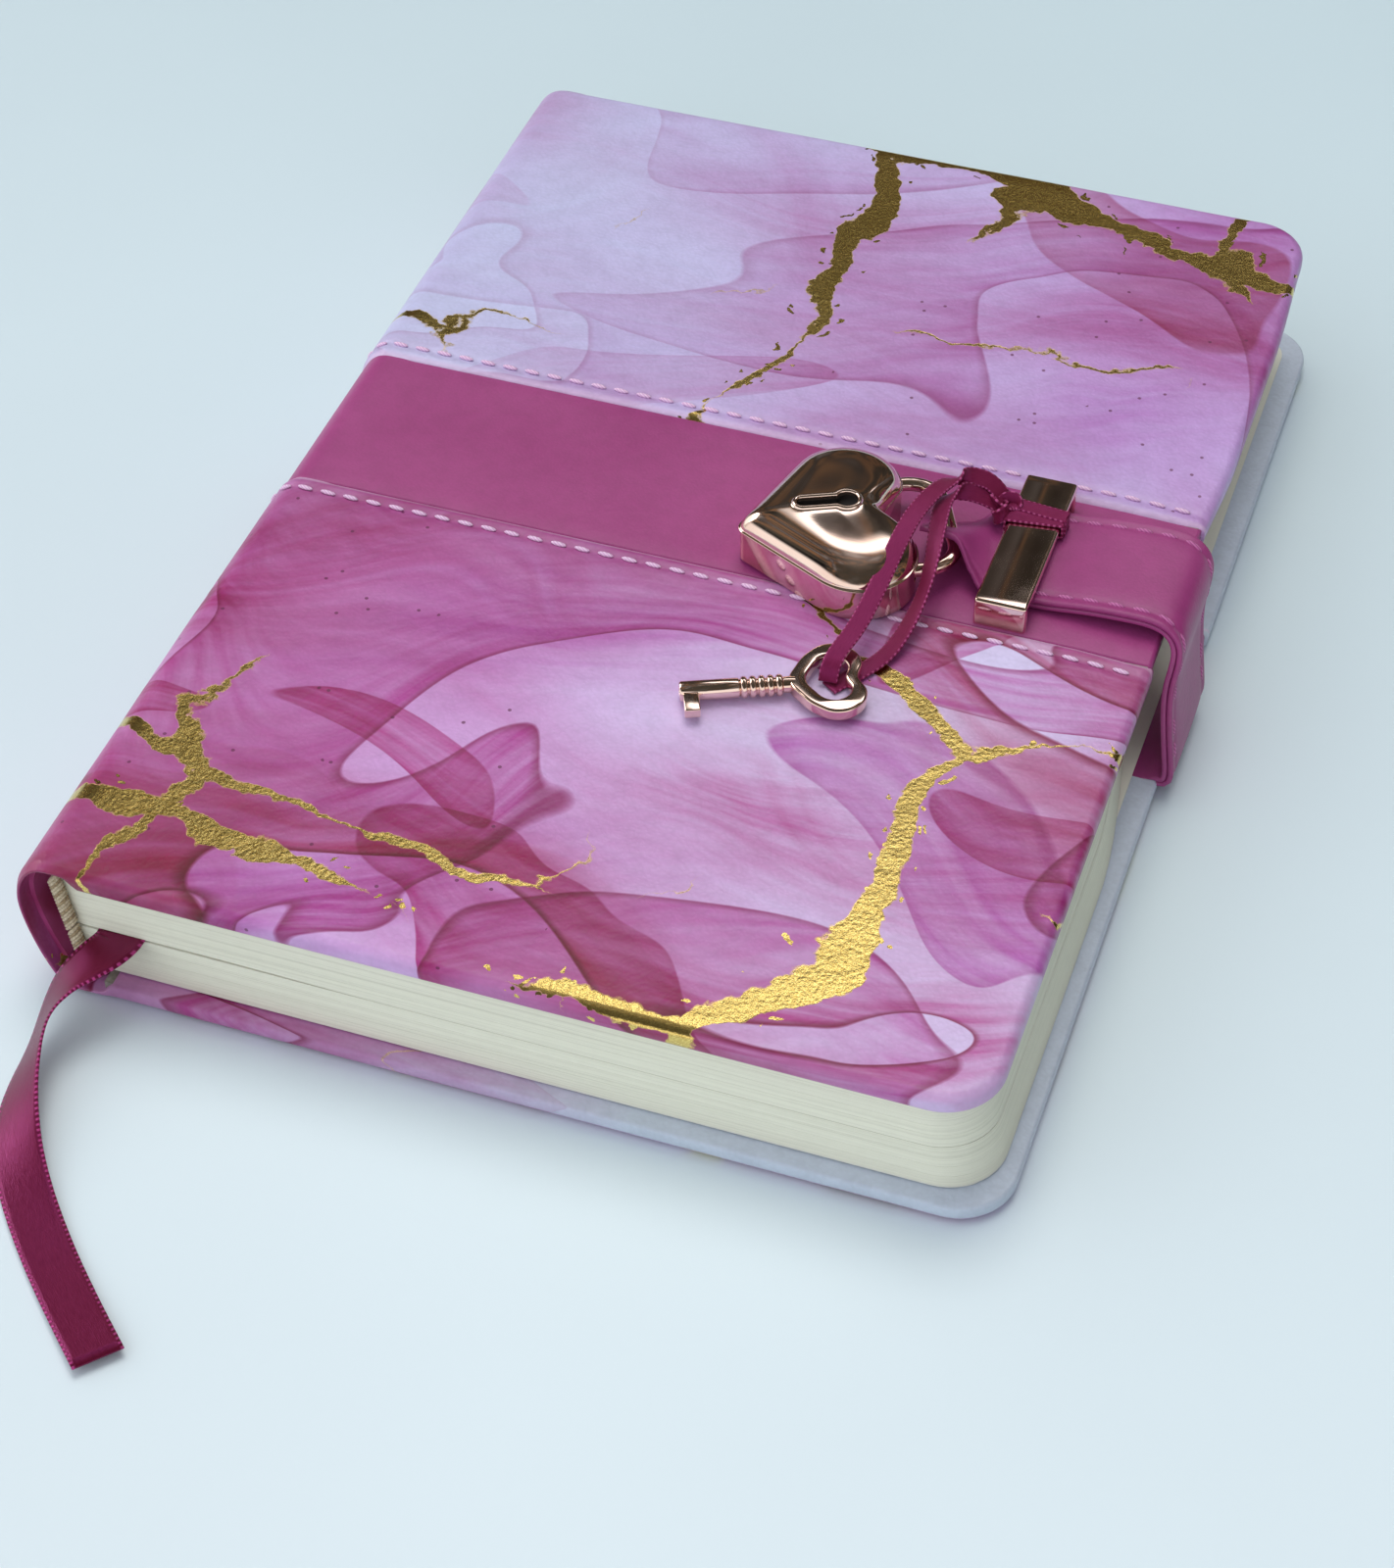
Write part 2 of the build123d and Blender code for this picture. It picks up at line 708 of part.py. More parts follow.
hole_tool = placed(rod(rod_r + rod_clear))
tongue_outer = tongue_outer - hole_tool
tongue_lining = tongue_lining - hole_tool


# Key
def small_heart(grow):
    u0 = neck_l + barrel_l
    lobes = Pos(u0 + bow_len - bow_r, bow_v) * Circle(bow_r + grow)
    lobes = lobes + Pos(u0 + bow_len - bow_r, -bow_v) * Circle(bow_r + grow)
    reach = bow_len - bow_r
    side_u = u0 + reach * 0.42
    side_v = bow_v + bow_r * 0.78
    point = (u0 - grow * 1.25, 0.0)
    body = make_face(Polyline(
        point, (side_u - grow * 0.5, side_v + grow * 0.75), (u0 + reach + 1.0, bow_v),
        (u0 + reach + 1.0, -bow_v), (side_u - grow * 0.5, -side_v - grow * 0.75), close=True,
    ))
    return lobes + body


bow = Pos(0, 0, -bow_t / 2) * extrude(small_heart(0.0), amount=bow_t)
bow = bow - Pos(0, 0, -bow_t) * extrude(small_heart(-bow_wall), amount=2 * bow_t)
barrel_mid = Pos((barrel_l + neck_l + barrel_in) / 2, 0, 0)
barrel = barrel_mid * Rot(0, 90, 0) * Cylinder(barrel_r, barrel_l + neck_l + barrel_in)
key = bow + barrel
for i in range(collars):
    key = key + Pos(barrel_l + 0.8 + i * collar_pitch, 0, 0) * Rot(0, 90, 0) * Cylinder(collar_r, collar_l)
key = key + Pos(0.4 + bit_w / 2, -bit_reach / 2, 0) * Box(bit_w, bit_reach, bit_t)
key = key - Pos(bore_l / 2 - 0.1, 0, 0) * Rot(0, 90, 0) * Cylinder(barrel_bore, bore_l + 0.2)
key_z = book_t + collar_r + key_rest
key_at = Location((key_x, key_y, key_z), (0, 0, key_turn))
key = key_at * key

# Key ribbon: two strands from the knot on the keeper to the bow, joined by a bend through the bow
def from_keeper(points):
    return [(keeper_x + x, keeper_y + y, book_t + z) for x, y, z in points]


strand_a = from_keeper([
    (-5.15, 7.0, 4.9),
    (-7.3, 8.2, 7.4),
    (-11.0, 7.2, 9.2),
    (-14.4, 3.2, 10.2),
    (-16.7, -4.9, 10.6),
    (-17.5, -12.4, 9.8),
    (-18.1, -20.4, 7.4),
    (-19.0, -28.4, 5.2),
    (-20.4, -34.0, 4.4),
    (-20.8, -35.9, 3.7),
    (-21.0, -37.2, 2.4),
    (-20.9, -37.9, 1.0),
])
strand_b = from_keeper([
    (-20.6, -38.5, 0.34),
    (-17.4, -34.0, 0.34),
    (-14.3, -29.6, 0.8),
    (-12.6, -24.0, 2.4),
    (-11.8, -17.8, 4.8),
    (-12.1, -12.0, 7.2),
    (-13.0, -6.4, 8.8),
    (-14.0, 0.2, 9.4),
])


# Bookmark ribbon: from the head of the spine through the block, out at the tail and down to the table
mark_z = split_lo + bookmark_gap / 2.0
mark_inside = [
    (block_x0 + 3.5, page_half - 4.5, mark_z),
    (block_x0 + 4.0, 40.0, mark_z),
    (block_x0 + 5.5, -40.0, mark_z),
    (block_x0 + 7.5, -page_half, mark_z),
]
mark_drop = [
    (7.5, -0.02, mark_z),
    (6.6, -3.1, mark_z - 0.1),
    (4.4, -5.7, mark_z - 1.0),
    (2.0, -8.5, mark_z - 2.6),
    (0.6, -12.7, mark_z - 5.0),
    (0.8, -17.7, mark_z - 7.4),
    (1.7, -23.5, 3.2),
    (3.5, -29.3, 2.2),
    (7.0, -36.1, 1.0),
    (13.5, -44.1, 0.6),
    (23.2, -54.1, 0.6),
    (33.0, -63.1, 0.9),
]
mark_outside = [(block_x0 + x, -page_half + y, z) for x, y, z in mark_drop]
mark_across = [
    (1, 0, 0),
    (1, 0.1, 0),
    (1, -0.3, 0.5),
    (0.8, -0.3, 0.9),
    (0.75, -0.1, 0.75),
    (0.9, 0.2, 0.45),
    (0.95, 0.3, 0.2),
    (0.9, 0.4, 0.1),
    (0.8, 0.6, 0.0),
    (0.75, 0.65, 0.0),
    (0.7, 0.7, 0.0),
    (0.72, 0.7, 0.0),
]
half_mark = bookmark_t / 2.0
inside = path_stations(mark_inside, bookmark_w, [(1, 0, 0)] * 4)
inside[-1] = (mark_inside[-1], (1, 0, 0), (0, 0, 1), bookmark_w)
outside = path_stations(mark_outside, bookmark_w, mark_across)
outside[0] = (mark_outside[0], (1, 0, 0), (0, 0, 1), bookmark_w)
bookmark_in = sheet(inside, -half_mark, half_mark)
bookmark_out = sheet(outside, -half_mark, half_mark)

a_across = [(0.0, 0.9, 0.4), (0.1, 0.9, 0.3), (0.4, 0.8, 0.1), (0.8, 0.4, 0.0)]
a_across = a_across + [(1, 0, 0)] * 8
b_across = [(1, -0.5, 0), (1, -0.5, 0), (1, -0.4, 0.2), (1, -0.2, 0.5)]
b_across = b_across + [(0.8, 0, 0.8), (0.8, 0, 0.7), (0.9, 0.1, 0.4), (1, 0.2, 0)]
half_ribbon = key_ribbon_t / 2.0
ribbon_a = sheet(path_stations(strand_a, key_ribbon_w, a_across), -half_ribbon, half_ribbon)
ribbon_b = sheet(path_stations(strand_b, key_ribbon_w, b_across), -half_ribbon, half_ribbon)
knot_y = keeper_y + knot_off
knot_half = keeper_w / 2 + knot_clear
knot_low = bar_top - keeper_bar_t - knot_clear
knot_high = bar_top + knot_clear
knot_outer = block(
    keeper_x - knot_half - knot_t, keeper_x + knot_half + knot_t,
    knot_y - key_ribbon_w / 2, knot_y + key_ribbon_w / 2,
    knot_low - key_ribbon_t, knot_high + knot_t,
)
knot_hole = block(
    keeper_x - knot_half, keeper_x + knot_half,
    knot_y - key_ribbon_w, knot_y + key_ribbon_w,
    knot_low, knot_high,
)
knot = knot_outer - knot_hole

# Write every node
keep("front_board", front_board)
keep("front_panel_upper", front_upper)
keep("front_panel_lower", front_lower)
keep("front_band", front_band)
keep("front_pastedown", front_paste)
keep("front_stitches", Compound(children=[Part() + s for s in front_stitches]))
keep("back_board", back_board)
keep("back_panel_upper", back_upper)
keep("back_panel_lower", back_lower)
keep("back_band", back_band)
keep("back_pastedown", back_paste)
keep("back_stitches", Compound(children=[Part() + s for s in back_stitches]))
keep("spine_panel_upper", spine_upper)
keep("spine_panel_lower", spine_lower)
keep("spine_band", spine_band)
keep("spine_liner", spine_liner)
for i, section in enumerate(sections):
    keep(f"page_section_{i + 1}", section)
keep("front_flyleaf", front_flyleaf)
keep("back_flyleaf", back_flyleaf)
keep("spine_lining_low", lining_low)
keep("spine_lining_high", lining_high)
keep("tail_band_low", tail_low)
keep("tail_band_high", tail_high)
keep("head_band_low", head_low)
keep("head_band_high", head_high)
keep("strap_tab", strap_tab)
keep("strap_riser_outer", riser_outer)
keep("strap_riser_lining", riser_lining)
keep("strap_tongue_outer", tongue_outer)
keep("strap_tongue_lining", tongue_lining)
keep("keeper", bar)
keep("keeper_plates", Compound(children=[Part() + p for p in plates]))
keep("lock_cup", placed(cup))
keep("lock_dome", placed(dome))
keep("lock_rivets", Compound(children=[Part() + placed(r) for r in rivets]))
keep("lock_pivot_pin", placed(pivot_pin))
keep("lock_key_post", placed(key_post))
keep("lock_detent", placed(detent))
keep("lock_bolt", placed(bolt))
keep("shackle", placed(shackle))
keep("key", key)
keep("key_ribbon_a", ribbon_a)
keep("key_ribbon_b", ribbon_b)
keep("key_ribbon_knot", knot)
keep("bookmark_inside", bookmark_in)
keep("bookmark_tail", bookmark_out)
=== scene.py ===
# %% [markdown]
# # A diary with a heart padlock
#
# The frame holds the diary's solids at their real size, in metres. This lesson dresses them: printed
# leatherette over padded boards, a plain belt between two panels, a strap with a heart padlock, ivory pages
# and satin ribbons. Nothing in the frame is moved. What is soft or shiny gets a finer piece in its place.

# %% Load the frame
import json
import math

import bmesh
import bpy
from mathutils import Matrix, Vector, geometry, noise

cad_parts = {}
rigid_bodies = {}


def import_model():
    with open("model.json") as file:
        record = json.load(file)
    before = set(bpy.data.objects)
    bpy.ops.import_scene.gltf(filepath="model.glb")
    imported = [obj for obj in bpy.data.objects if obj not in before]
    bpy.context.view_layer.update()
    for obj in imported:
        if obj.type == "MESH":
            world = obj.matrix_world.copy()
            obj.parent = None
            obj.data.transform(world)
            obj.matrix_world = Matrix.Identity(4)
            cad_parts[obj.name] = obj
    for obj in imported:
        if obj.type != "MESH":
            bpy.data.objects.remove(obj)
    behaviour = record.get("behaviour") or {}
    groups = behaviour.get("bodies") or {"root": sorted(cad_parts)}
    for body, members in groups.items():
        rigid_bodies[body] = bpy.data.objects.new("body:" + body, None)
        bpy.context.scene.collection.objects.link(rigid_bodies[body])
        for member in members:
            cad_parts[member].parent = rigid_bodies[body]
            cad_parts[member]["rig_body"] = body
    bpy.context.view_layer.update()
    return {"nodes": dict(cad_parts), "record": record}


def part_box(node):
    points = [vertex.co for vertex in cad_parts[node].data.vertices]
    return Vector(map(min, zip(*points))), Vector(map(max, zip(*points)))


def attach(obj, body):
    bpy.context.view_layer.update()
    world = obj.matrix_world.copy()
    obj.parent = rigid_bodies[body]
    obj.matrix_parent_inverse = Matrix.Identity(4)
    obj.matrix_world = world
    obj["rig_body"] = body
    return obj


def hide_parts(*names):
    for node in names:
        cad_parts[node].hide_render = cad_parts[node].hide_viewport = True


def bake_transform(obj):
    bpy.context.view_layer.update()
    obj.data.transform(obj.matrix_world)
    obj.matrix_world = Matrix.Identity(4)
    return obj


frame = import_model()
MM = 0.001

# %% [markdown]
# ## Camera
#
# The photograph looks down at the tail and the fore edge from about 45 degrees. A long lens keeps the
# covers' edges nearly parallel. The lens comes from the picture's focal length in pixels, so the frame
# matches.

# %% Place the camera
PHOTO_HEIGHT_PX = 1600
PHOTO_FOCAL_PX = 3393.6
SENSOR_MM = 36.0
CAMERA_TURN_DEG = (45.407, 0.224, 18.982)
camera_data = bpy.data.cameras.new("camera")
camera_data.sensor_width = SENSOR_MM
camera_data.lens = SENSOR_MM * PHOTO_FOCAL_PX / PHOTO_HEIGHT_PX
camera_data.clip_start = 0.02
camera = bpy.data.objects.new("camera", camera_data)
camera.location = (0.12783, -0.39136, 0.37121)
camera.rotation_euler = [math.radians(angle) for angle in CAMERA_TURN_DEG]
bpy.context.scene.collection.objects.link(camera)
bpy.context.scene.camera = camera
print(f"lens {camera_data.lens:.1f} mm")

# %% [markdown]
# ## Small helpers
#
# Every material below is a chain of nodes, and every mesh starts as a bmesh. These helpers keep that short.
# A Value is one output of a node, and a sum with it adds a Math node, so a chain reads like a formula.
# Nodes adds nodes to a tree, Finish starts a material and Group starts a node group with one number to set.

# %% Values
class Value:
    """One output of a node. Used in a sum like a number, it adds a Math node that does the sum."""

    def __init__(self, nodes, socket):
        self.nodes = nodes
        self.socket = socket

    def maths(self, operation, *others, **settings):
        return self.nodes.maths(operation, self, *others, **settings)

    def __add__(self, other):
        return self.maths("ADD", other)

    def __sub__(self, other):
        return self.maths("SUBTRACT", other)

    def __mul__(self, other):
        return self.maths("MULTIPLY", other)

    def __gt__(self, other):
        return self.maths("GREATER_THAN", other)

    def __lt__(self, other):
        return self.maths("LESS_THAN", other)

    def rest(self):
        """What is left of 1."""
        return self.nodes.maths("SUBTRACT", 1.0, self)

    def remap(self, low, high, to_low=0.0, to_high=1.0):
        """Stretches the range from low to high to a new one, and clamps what lies outside."""
        inputs = {"Value": self, "From Min": low, "From Max": high, "To Min": to_low, "To Max": to_high}
        return self.nodes.add("MapRange", inputs)[0]


class Outputs:
    """What a node puts out, by name or number."""

    def __init__(self, nodes, node):
        self.nodes = nodes
        self.node = node

    def __getitem__(self, key):
        return Value(self.nodes, self.node.outputs[key])


# %% Nodes
class Nodes:
    """Adds nodes to the tree of a material, a node group or a world."""

    def __init__(self, tree):
        self.tree = tree

    def plug(self, socket, value):
        if isinstance(value, Value):
            self.tree.links.new(value.socket, socket)
        else:
            socket.default_value = value

    def add(self, kind, inputs=None, **settings):
        node = self.tree.nodes.new("ShaderNode" + kind)
        for key, value in settings.items():
            setattr(node, key, value)
        for key, value in (inputs or {}).items():
            self.plug(node.inputs[key], value)
        return Outputs(self, node)

    def maths(self, operation, *values, **settings):
        return self.add("Math", dict(enumerate(values)), operation=operation, **settings)[0]

    def vectors(self, operation, *values):
        return self.add("VectorMath", dict(enumerate(values)), operation=operation)[0]

    def scaled(self, vector, factor):
        return self.add("VectorMath", {0: vector, 3: factor}, operation="SCALE")[0]

    def mix(self, factor, first, second):
        return self.add("Mix", {0: factor, 6: first, 7: second}, data_type="RGBA")[2]

    def noise(self, place, scale, detail, output="Fac"):
        return self.add("TexNoise", {"Vector": place, "Scale": scale, "Detail": detail})[output]

    def parts(self, vector):
        return self.add("SeparateXYZ", {"Vector": vector})

    def place(self):
        """Where a point lies on its piece, in metres."""
        return self.add("TexCoord")["Object"]


# %% Materials and groups
class Finish(Nodes):
    """A new material. What is the same all over is given at once, what changes is set later."""

    def __init__(self, name, **numbers):
        self.material = bpy.data.materials.new(name)
        self.material.use_nodes = True
        super().__init__(self.material.node_tree)
        self.shader = self.tree.nodes["Principled BSDF"]
        self.set(**numbers)

    def set(self, **values):
        for label, value in values.items():
            self.plug(self.shader.inputs[label.replace("_", " ")], value)

    def bump(self, height, distance, strength):
        inputs = {"Height": height, "Distance": distance, "Strength": strength}
        self.set(Normal=self.add("Bump", inputs)[0])


class Group(Nodes):
    """A node group with one number to set."""

    def __init__(self, name, label, default, outputs):
        super().__init__(bpy.data.node_groups.new(name, "ShaderNodeTree"))
        sockets = self.tree.interface
        sockets.new_socket(label, in_out="INPUT", socket_type="NodeSocketFloat").default_value = default
        for output in outputs:
            sockets.new_socket(output, in_out="OUTPUT", socket_type="NodeSocketFloat")
        self.given = Outputs(self, self.tree.nodes.new("NodeGroupInput"))[label]
        self.out = self.tree.nodes.new("NodeGroupOutput").inputs

    def give(self, **values):
        for label, value in values.items():
            self.plug(self.out[label], value)


def card(red, green, blue):
    """A colour as a colour card gives it, 0 to 255, turned into the linear light that shaders use."""
    def linear(value):
        value = value / 255
        return value / 12.92 if value <= 0.04045 else ((value + 0.055) / 1.055) ** 2.4
    return (linear(red), linear(green), linear(blue), 1.0)


# %% Mesh helpers
def piece_from(bm, name, *materials, smooth=True):
    mesh = bpy.data.meshes.new(name)
    bm.to_mesh(mesh)
    bm.free()
    for material in materials:
        mesh.materials.append(material)
    for polygon in mesh.polygons:
        polygon.use_smooth = smooth
    piece = bpy.data.objects.new(name, mesh)
    bpy.context.scene.collection.objects.link(piece)
    return piece


def smoothstep(low, high, value):
    share = min(max((value - low) / (high - low), 0.0), 1.0)
    return share * share * (3 - 2 * share)


def sharp_where_steep(piece, degrees):
    piece.data.set_sharp_from_angle(angle=math.radians(degrees))


# %% [markdown]
# ## Table and light
#
# A pale table fills the picture, so a large plane is both floor and background. The light is a plain soft
# studio: an even sky with one broad lamp overhead. Polished metal under an even sky has nothing to show and
# looks like plaster, so what mirrors see is a room: dim walls, a bright ceiling panel at the far side,
# windows and someone who leans over. Light Path tells the two apart: only a ray that comes from a gloss
# sees the room.

# %% Table
def table_finish():
    finish = Finish("table_top", Roughness=0.5)
    place = finish.place()
    clouds = finish.noise(place, 6.0, 3.0)
    # Painted light: the table's colour turns lighter toward the camera, as if more light fell on its near
    # part.
    near = finish.parts(place)["Y"].remap(0.3, -0.3)
    pale = finish.mix(near, card(198, 217, 222), card(230, 242, 247))
    finish.set(Base_Color=finish.scaled(pale, clouds.remap(0.3, 0.7, 0.975, 1.02)))
    return finish.material


bm = bmesh.new()
bmesh.ops.create_grid(bm, x_segments=1, y_segments=1, size=2.5)
bmesh.ops.translate(bm, verts=bm.verts, vec=(0, 0, -0.1 * MM))
table = piece_from(bm, "table", table_finish(), smooth=False)
print("table laid")

# %% Sky for plain surfaces
bpy.context.scene.view_settings.view_transform = "Standard"
world = bpy.data.worlds.new("studio")
bpy.context.scene.world = world
world.use_nodes = True
studio = Nodes(world.node_tree)
direction = studio.add("TexCoord")["Generated"]
toward = studio.parts(direction)
SKY = (0.57, 0.6, 0.645)
LAMP = (5.6, 5.55, 5.4, 1.0)
OVERHEAD = (-0.08, 0.27, 0.96)


def facing(target):
    inputs = {0: direction, 1: Vector(target).normalized()}
    return studio.add("VectorMath", inputs, operation="DOT_PRODUCT")["Value"]


lit_side = toward["X"] * -0.9 + toward["Y"] * -0.75
sky = studio.scaled(SKY, lit_side + 1.0)
sky = studio.mix(facing(OVERHEAD).remap(0.93, 0.99), sky, LAMP)

# %% Room for mirrors
WALLS = (
    (0.3, (0.01, 0.01, 0.01)), (0.44, (0.06, 0.06, 0.05)), (0.5, (0.26, 0.16, 0.09)),
    (0.55, (0.05, 0.05, 0.05)), (0.72, (0.36, 0.37, 0.38)),
)
upright = studio.vectors("MULTIPLY", direction, (2.4, 2.4, 0.7))
walls = studio.add("ValToRGB", {"Fac": studio.noise(upright, 1.7, 2.0)})
ramp = walls.node.color_ramp
for place, _ in WALLS[1:-1]:
    ramp.elements.new(place)
for element, (place, colour) in zip(ramp.elements, WALLS):
    element.position = place
    element.color = (*colour, 1.0)
sway = studio.noise(direction, 2.6, 1.0).remap(0.3, 0.7, -0.05, 0.05)
height = toward["X"] * 0.12 + (toward["Z"] + sway)
far_side = toward["Y"].remap(0.4, 0.52)
panel = height.remap(0.68, 0.73) * height.remap(0.86, 0.8) * toward["X"].remap(-0.4, -0.22)
gloom = height.remap(0.7, 0.64) * far_side
skylight = (facing((-0.87, 0.16, 0.45)) + sway * 0.3).remap(0.94, 0.98)
behind = toward["Y"].remap(0.0, -0.4) * toward["Z"].remap(0.5, 0.36)
side_window = facing((-0.95, 0.18, 0.26)).remap(0.91, 0.97)
person = (facing(camera.location.normalized() + Vector((0, 0, 0.62))) + sway).remap(0.8, 0.86)
room = walls[0]
for share, colour in (
    (gloom * 0.7, (0.03, 0.025, 0.02)), (panel * far_side, (2.6, 2.6, 2.6)), (skylight, (11.0, 10.6, 10.2)),
    (behind, (1.1, 1.1, 1.1)), (side_window, (1.5, 1.5, 1.5)), (person * 0.9, (0.05, 0.05, 0.04)),
):
    room = studio.mix(share, room, (*colour, 1.0))
path = studio.add("LightPath")
light = studio.mix(path["Is Glossy Ray"], sky, room)
light = studio.mix(path["Is Camera Ray"], light, card(214, 228, 234))
studio.plug(world.node_tree.nodes["Background"].inputs["Color"], light)
print("studio light set")

# %% [markdown]
# ## Satin ribbons
#
# The bookmark and the key's tie are woven satin: a smooth face that gleams along its folds, and a selvedge
# of tiny loops down both edges, painted lighter than the face as a painted highlight. The weave runs along
# the ribbon, so its pattern reads the ribbon's own UV map: metres along, and a share from 0 to 1 across.
# Both ribbons use one group for it, with their own colours.

# %% Satin finish
def satin_group():
    group = Group("satin_weave", "Loop Pitch", 0.0009, ("Loops", "Thread", "Height"))
    uv = group.parts(group.add("TexCoord")["UV"])
    edge = (uv["Y"] - 0.5).maths("ABSOLUTE").remap(0.425, 0.46)
    turns = uv["X"].maths("DIVIDE", group.given) * math.tau
    loops = edge * turns.maths("SINE").remap(-0.2, 0.5)
    threads = group.add("CombineXYZ", {"X": uv["X"] * 700.0, "Y": uv["Y"] * 60.0})[0]
    thread = group.noise(threads, 1.0, 2.0)
    group.give(Loops=loops, Thread=thread, Height=thread * 0.35 + loops)
    return group.tree


SATIN = satin_group()


def satin_finish(name, dark, light, loop_highlight):
    finish = Finish(name, IOR=1.6, Specular_IOR_Level=0.8, Specular_Tint=card(255, 104, 214))
    weave = finish.add("Group", node_tree=SATIN)
    face = finish.mix(weave["Thread"].remap(0.35, 0.65), dark, light)
    # Painted highlight: the selvedge loops get a lighter colour than the face.
    finish.set(Base_Color=finish.mix(weave["Loops"], face, loop_highlight))
    finish.set(Roughness=weave["Thread"].remap(0.3, 0.7, 0.28, 0.42))
    finish.bump(weave["Height"], 0.00012, 0.8)
    return finish.material


bookmark_satin = satin_finish("bookmark_satin", card(82, 12, 24), card(96, 20, 32), card(178, 66, 124))
key_satin = satin_finish("key_satin", card(100, 23, 50), card(122, 36, 66), card(184, 88, 134))
print("satin finishes made")

# %% [markdown]
# ## Ribbons along smooth lines
#
# A ribbon hangs in one smooth line, so its route is a NURBS spline led by a few control points. A curve
# can carry a round bevel, but a ribbon is flat and twists, so a grid is laid along the points that the
# spline gives: one row of the grid for each point, turned by the direction across that belongs to it.

# %% Ribbon maker
def route_line(name, points):
    """Points along a smooth NURBS line, from a route in millimetres."""
    curve = bpy.data.curves.new(name + "_route", "CURVE")
    curve.dimensions = "3D"
    curve.resolution_u = 14
    spline = curve.splines.new("NURBS")
    spline.points.add(len(points) - 1)
    for control, point in zip(spline.points, points):
        control.co = (*(Vector(point) * MM), 1.0)
    spline.order_u = 3
    spline.use_endpoint_u = True
    holder = bpy.data.objects.new(name + "_route", curve)
    mesh = bpy.data.meshes.new_from_object(holder)
    line = [vertex.co.copy() for vertex in mesh.vertices]
    bpy.data.objects.remove(holder)
    bpy.data.meshes.remove(mesh)
    return line


def distances(line):
    total = [0.0]
    for before, after in zip(line, line[1:]):
        total.append(total[-1] + (after - before).length)
    return total


def lay_ribbon(name, line, across, width, thickness, material, cup=0.0):
    lengths = distances(line)
    last = len(line) - 1
    bm = bmesh.new()
    uv = bm.loops.layers.uv.new("ribbon")
    bmesh.ops.create_grid(bm, x_segments=last, y_segments=8, size=0.5)
    for face in bm.faces:
        for loop in face.loops:
            row = round((loop.vert.co.x + 0.5) * last)
            loop[uv].uv = (lengths[row], loop.vert.co.y + 0.5)
    for vertex in bm.verts:
        row = round((vertex.co.x + 0.5) * last)
        along = (line[min(row + 1, last)] - line[max(row - 1, 0)]).normalized()
        side = (across[row] - along * along.dot(across[row])).normalized()
        out = side.cross(along)
        share = vertex.co.y
        vertex.co = line[row] + side * (share * width) + out * (cup * width * (0.25 - share * share))
    piece = piece_from(bm, name, material)
    wall = piece.modifiers.new("thickness", "SOLIDIFY")
    wall.thickness = thickness
    wall.offset = 0.0
    return piece, lengths[-1]


# %% Bookmark ribbon
BOOKMARK_WIDTH = 7.5 * MM
BOOKMARK_THICKNESS = 0.3 * MM
bookmark_route = [
    (-65.5, 100.0, 12.085), (-65.0, 40.0, 12.085), (-63.5, -40.0, 12.085), (-61.5, -104.5, 12.085),
    (-62.4, -107.6, 11.985), (-64.6, -110.2, 11.085), (-67.0, -113.0, 9.485), (-68.4, -117.2, 7.085),
    (-68.2, -122.2, 4.9), (-67.3, -128.0, 3.8), (-65.5, -133.8, 2.8), (-62.0, -140.6, 1.6),
    (-55.5, -148.6, 0.7), (-45.8, -158.6, 0.7), (-36.0, -167.6, 1.6),
]
bookmark_across = [(1, 0, 0)] * 4 + [
    (1, -0.1, 0.05), (1, -0.25, 0.2), (0.8, -0.45, 0.45), (0.5, -0.5, 0.6), (0.5, -0.35, 0.7),
    (0.68, -0.12, 0.6), (0.82, 0.15, 0.45), (0.87, 0.43, 0.22), (0.8, 0.6, 0), (0.75, 0.65, 0),
    (0.72, 0.7, 0),
]
line = route_line("bookmark", bookmark_route)
across = route_line("bookmark_across", bookmark_across)
bookmark, bookmark_length = lay_ribbon(
    "bookmark", line, across, BOOKMARK_WIDTH, BOOKMARK_THICKNESS, bookmark_satin)
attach(bookmark, "book")
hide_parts("bookmark_inside", "bookmark_tail")
print(f"bookmark {bookmark_length * 1000:.0f} mm long")

# %% Key ribbon
KEY_RIBBON_WIDTH = 3.0 * MM
KEY_RIBBON_THICKNESS = 0.35 * MM
strand_a_route = [
    (40.45, 10.4, 31.07), (38.3, 11.6, 33.57), (34.6, 10.6, 35.37), (31.2, 6.6, 36.37), (28.9, -1.5, 36.77),
    (28.1, -9.0, 35.97), (27.5, -17.0, 33.57), (26.6, -25.0, 31.37), (25.2, -30.6, 30.57),
    (24.8, -32.5, 29.87), (24.6, -33.8, 28.57), (24.7, -34.5, 27.17),
]
strand_a_across = [(0, 0.9, 0.4), (0.1, 0.9, 0.3), (0.4, 0.8, 0.1), (0.8, 0.4, 0)] + [(1, 0, 0)] * 8
strand_b_route = [
    (25.0, -35.1, 26.51), (28.2, -30.6, 26.51), (31.3, -26.2, 26.97), (33.0, -20.6, 28.57),
    (33.8, -14.4, 30.97), (33.5, -8.6, 33.37), (32.6, -3.0, 34.97), (31.8, 3.2, 35.5),
    (33.2, 7.2, 34.6), (36.6, 9.2, 32.9), (39.6, 9.6, 31.2),
]
strand_b_across = [
    (1, -0.5, 0), (1, -0.5, 0), (1, -0.4, 0.2), (1, -0.2, 0.5), (0.8, 0, 0.8), (0.8, 0, 0.7), (0.9, 0.1, 0.4),
    (0.9, 0.2, 0.3), (0.5, 0.7, 0.4), (0.1, 0.9, 0.4), (0, 0.9, 0.3),
]
for name, route, across in (("a", strand_a_route, strand_a_across), ("b", strand_b_route, strand_b_across)):
    line = route_line("strand_" + name, route)
    across = route_line("across_" + name, across)
    strand, length = lay_ribbon(
        "key_strand_" + name, line, across, KEY_RIBBON_WIDTH, KEY_RIBBON_THICKNESS, key_satin)
    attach(strand, "front_cover")
    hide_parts("key_ribbon_" + name)
    print(f"key ribbon strand {name}: {length * 1000:.0f} mm")

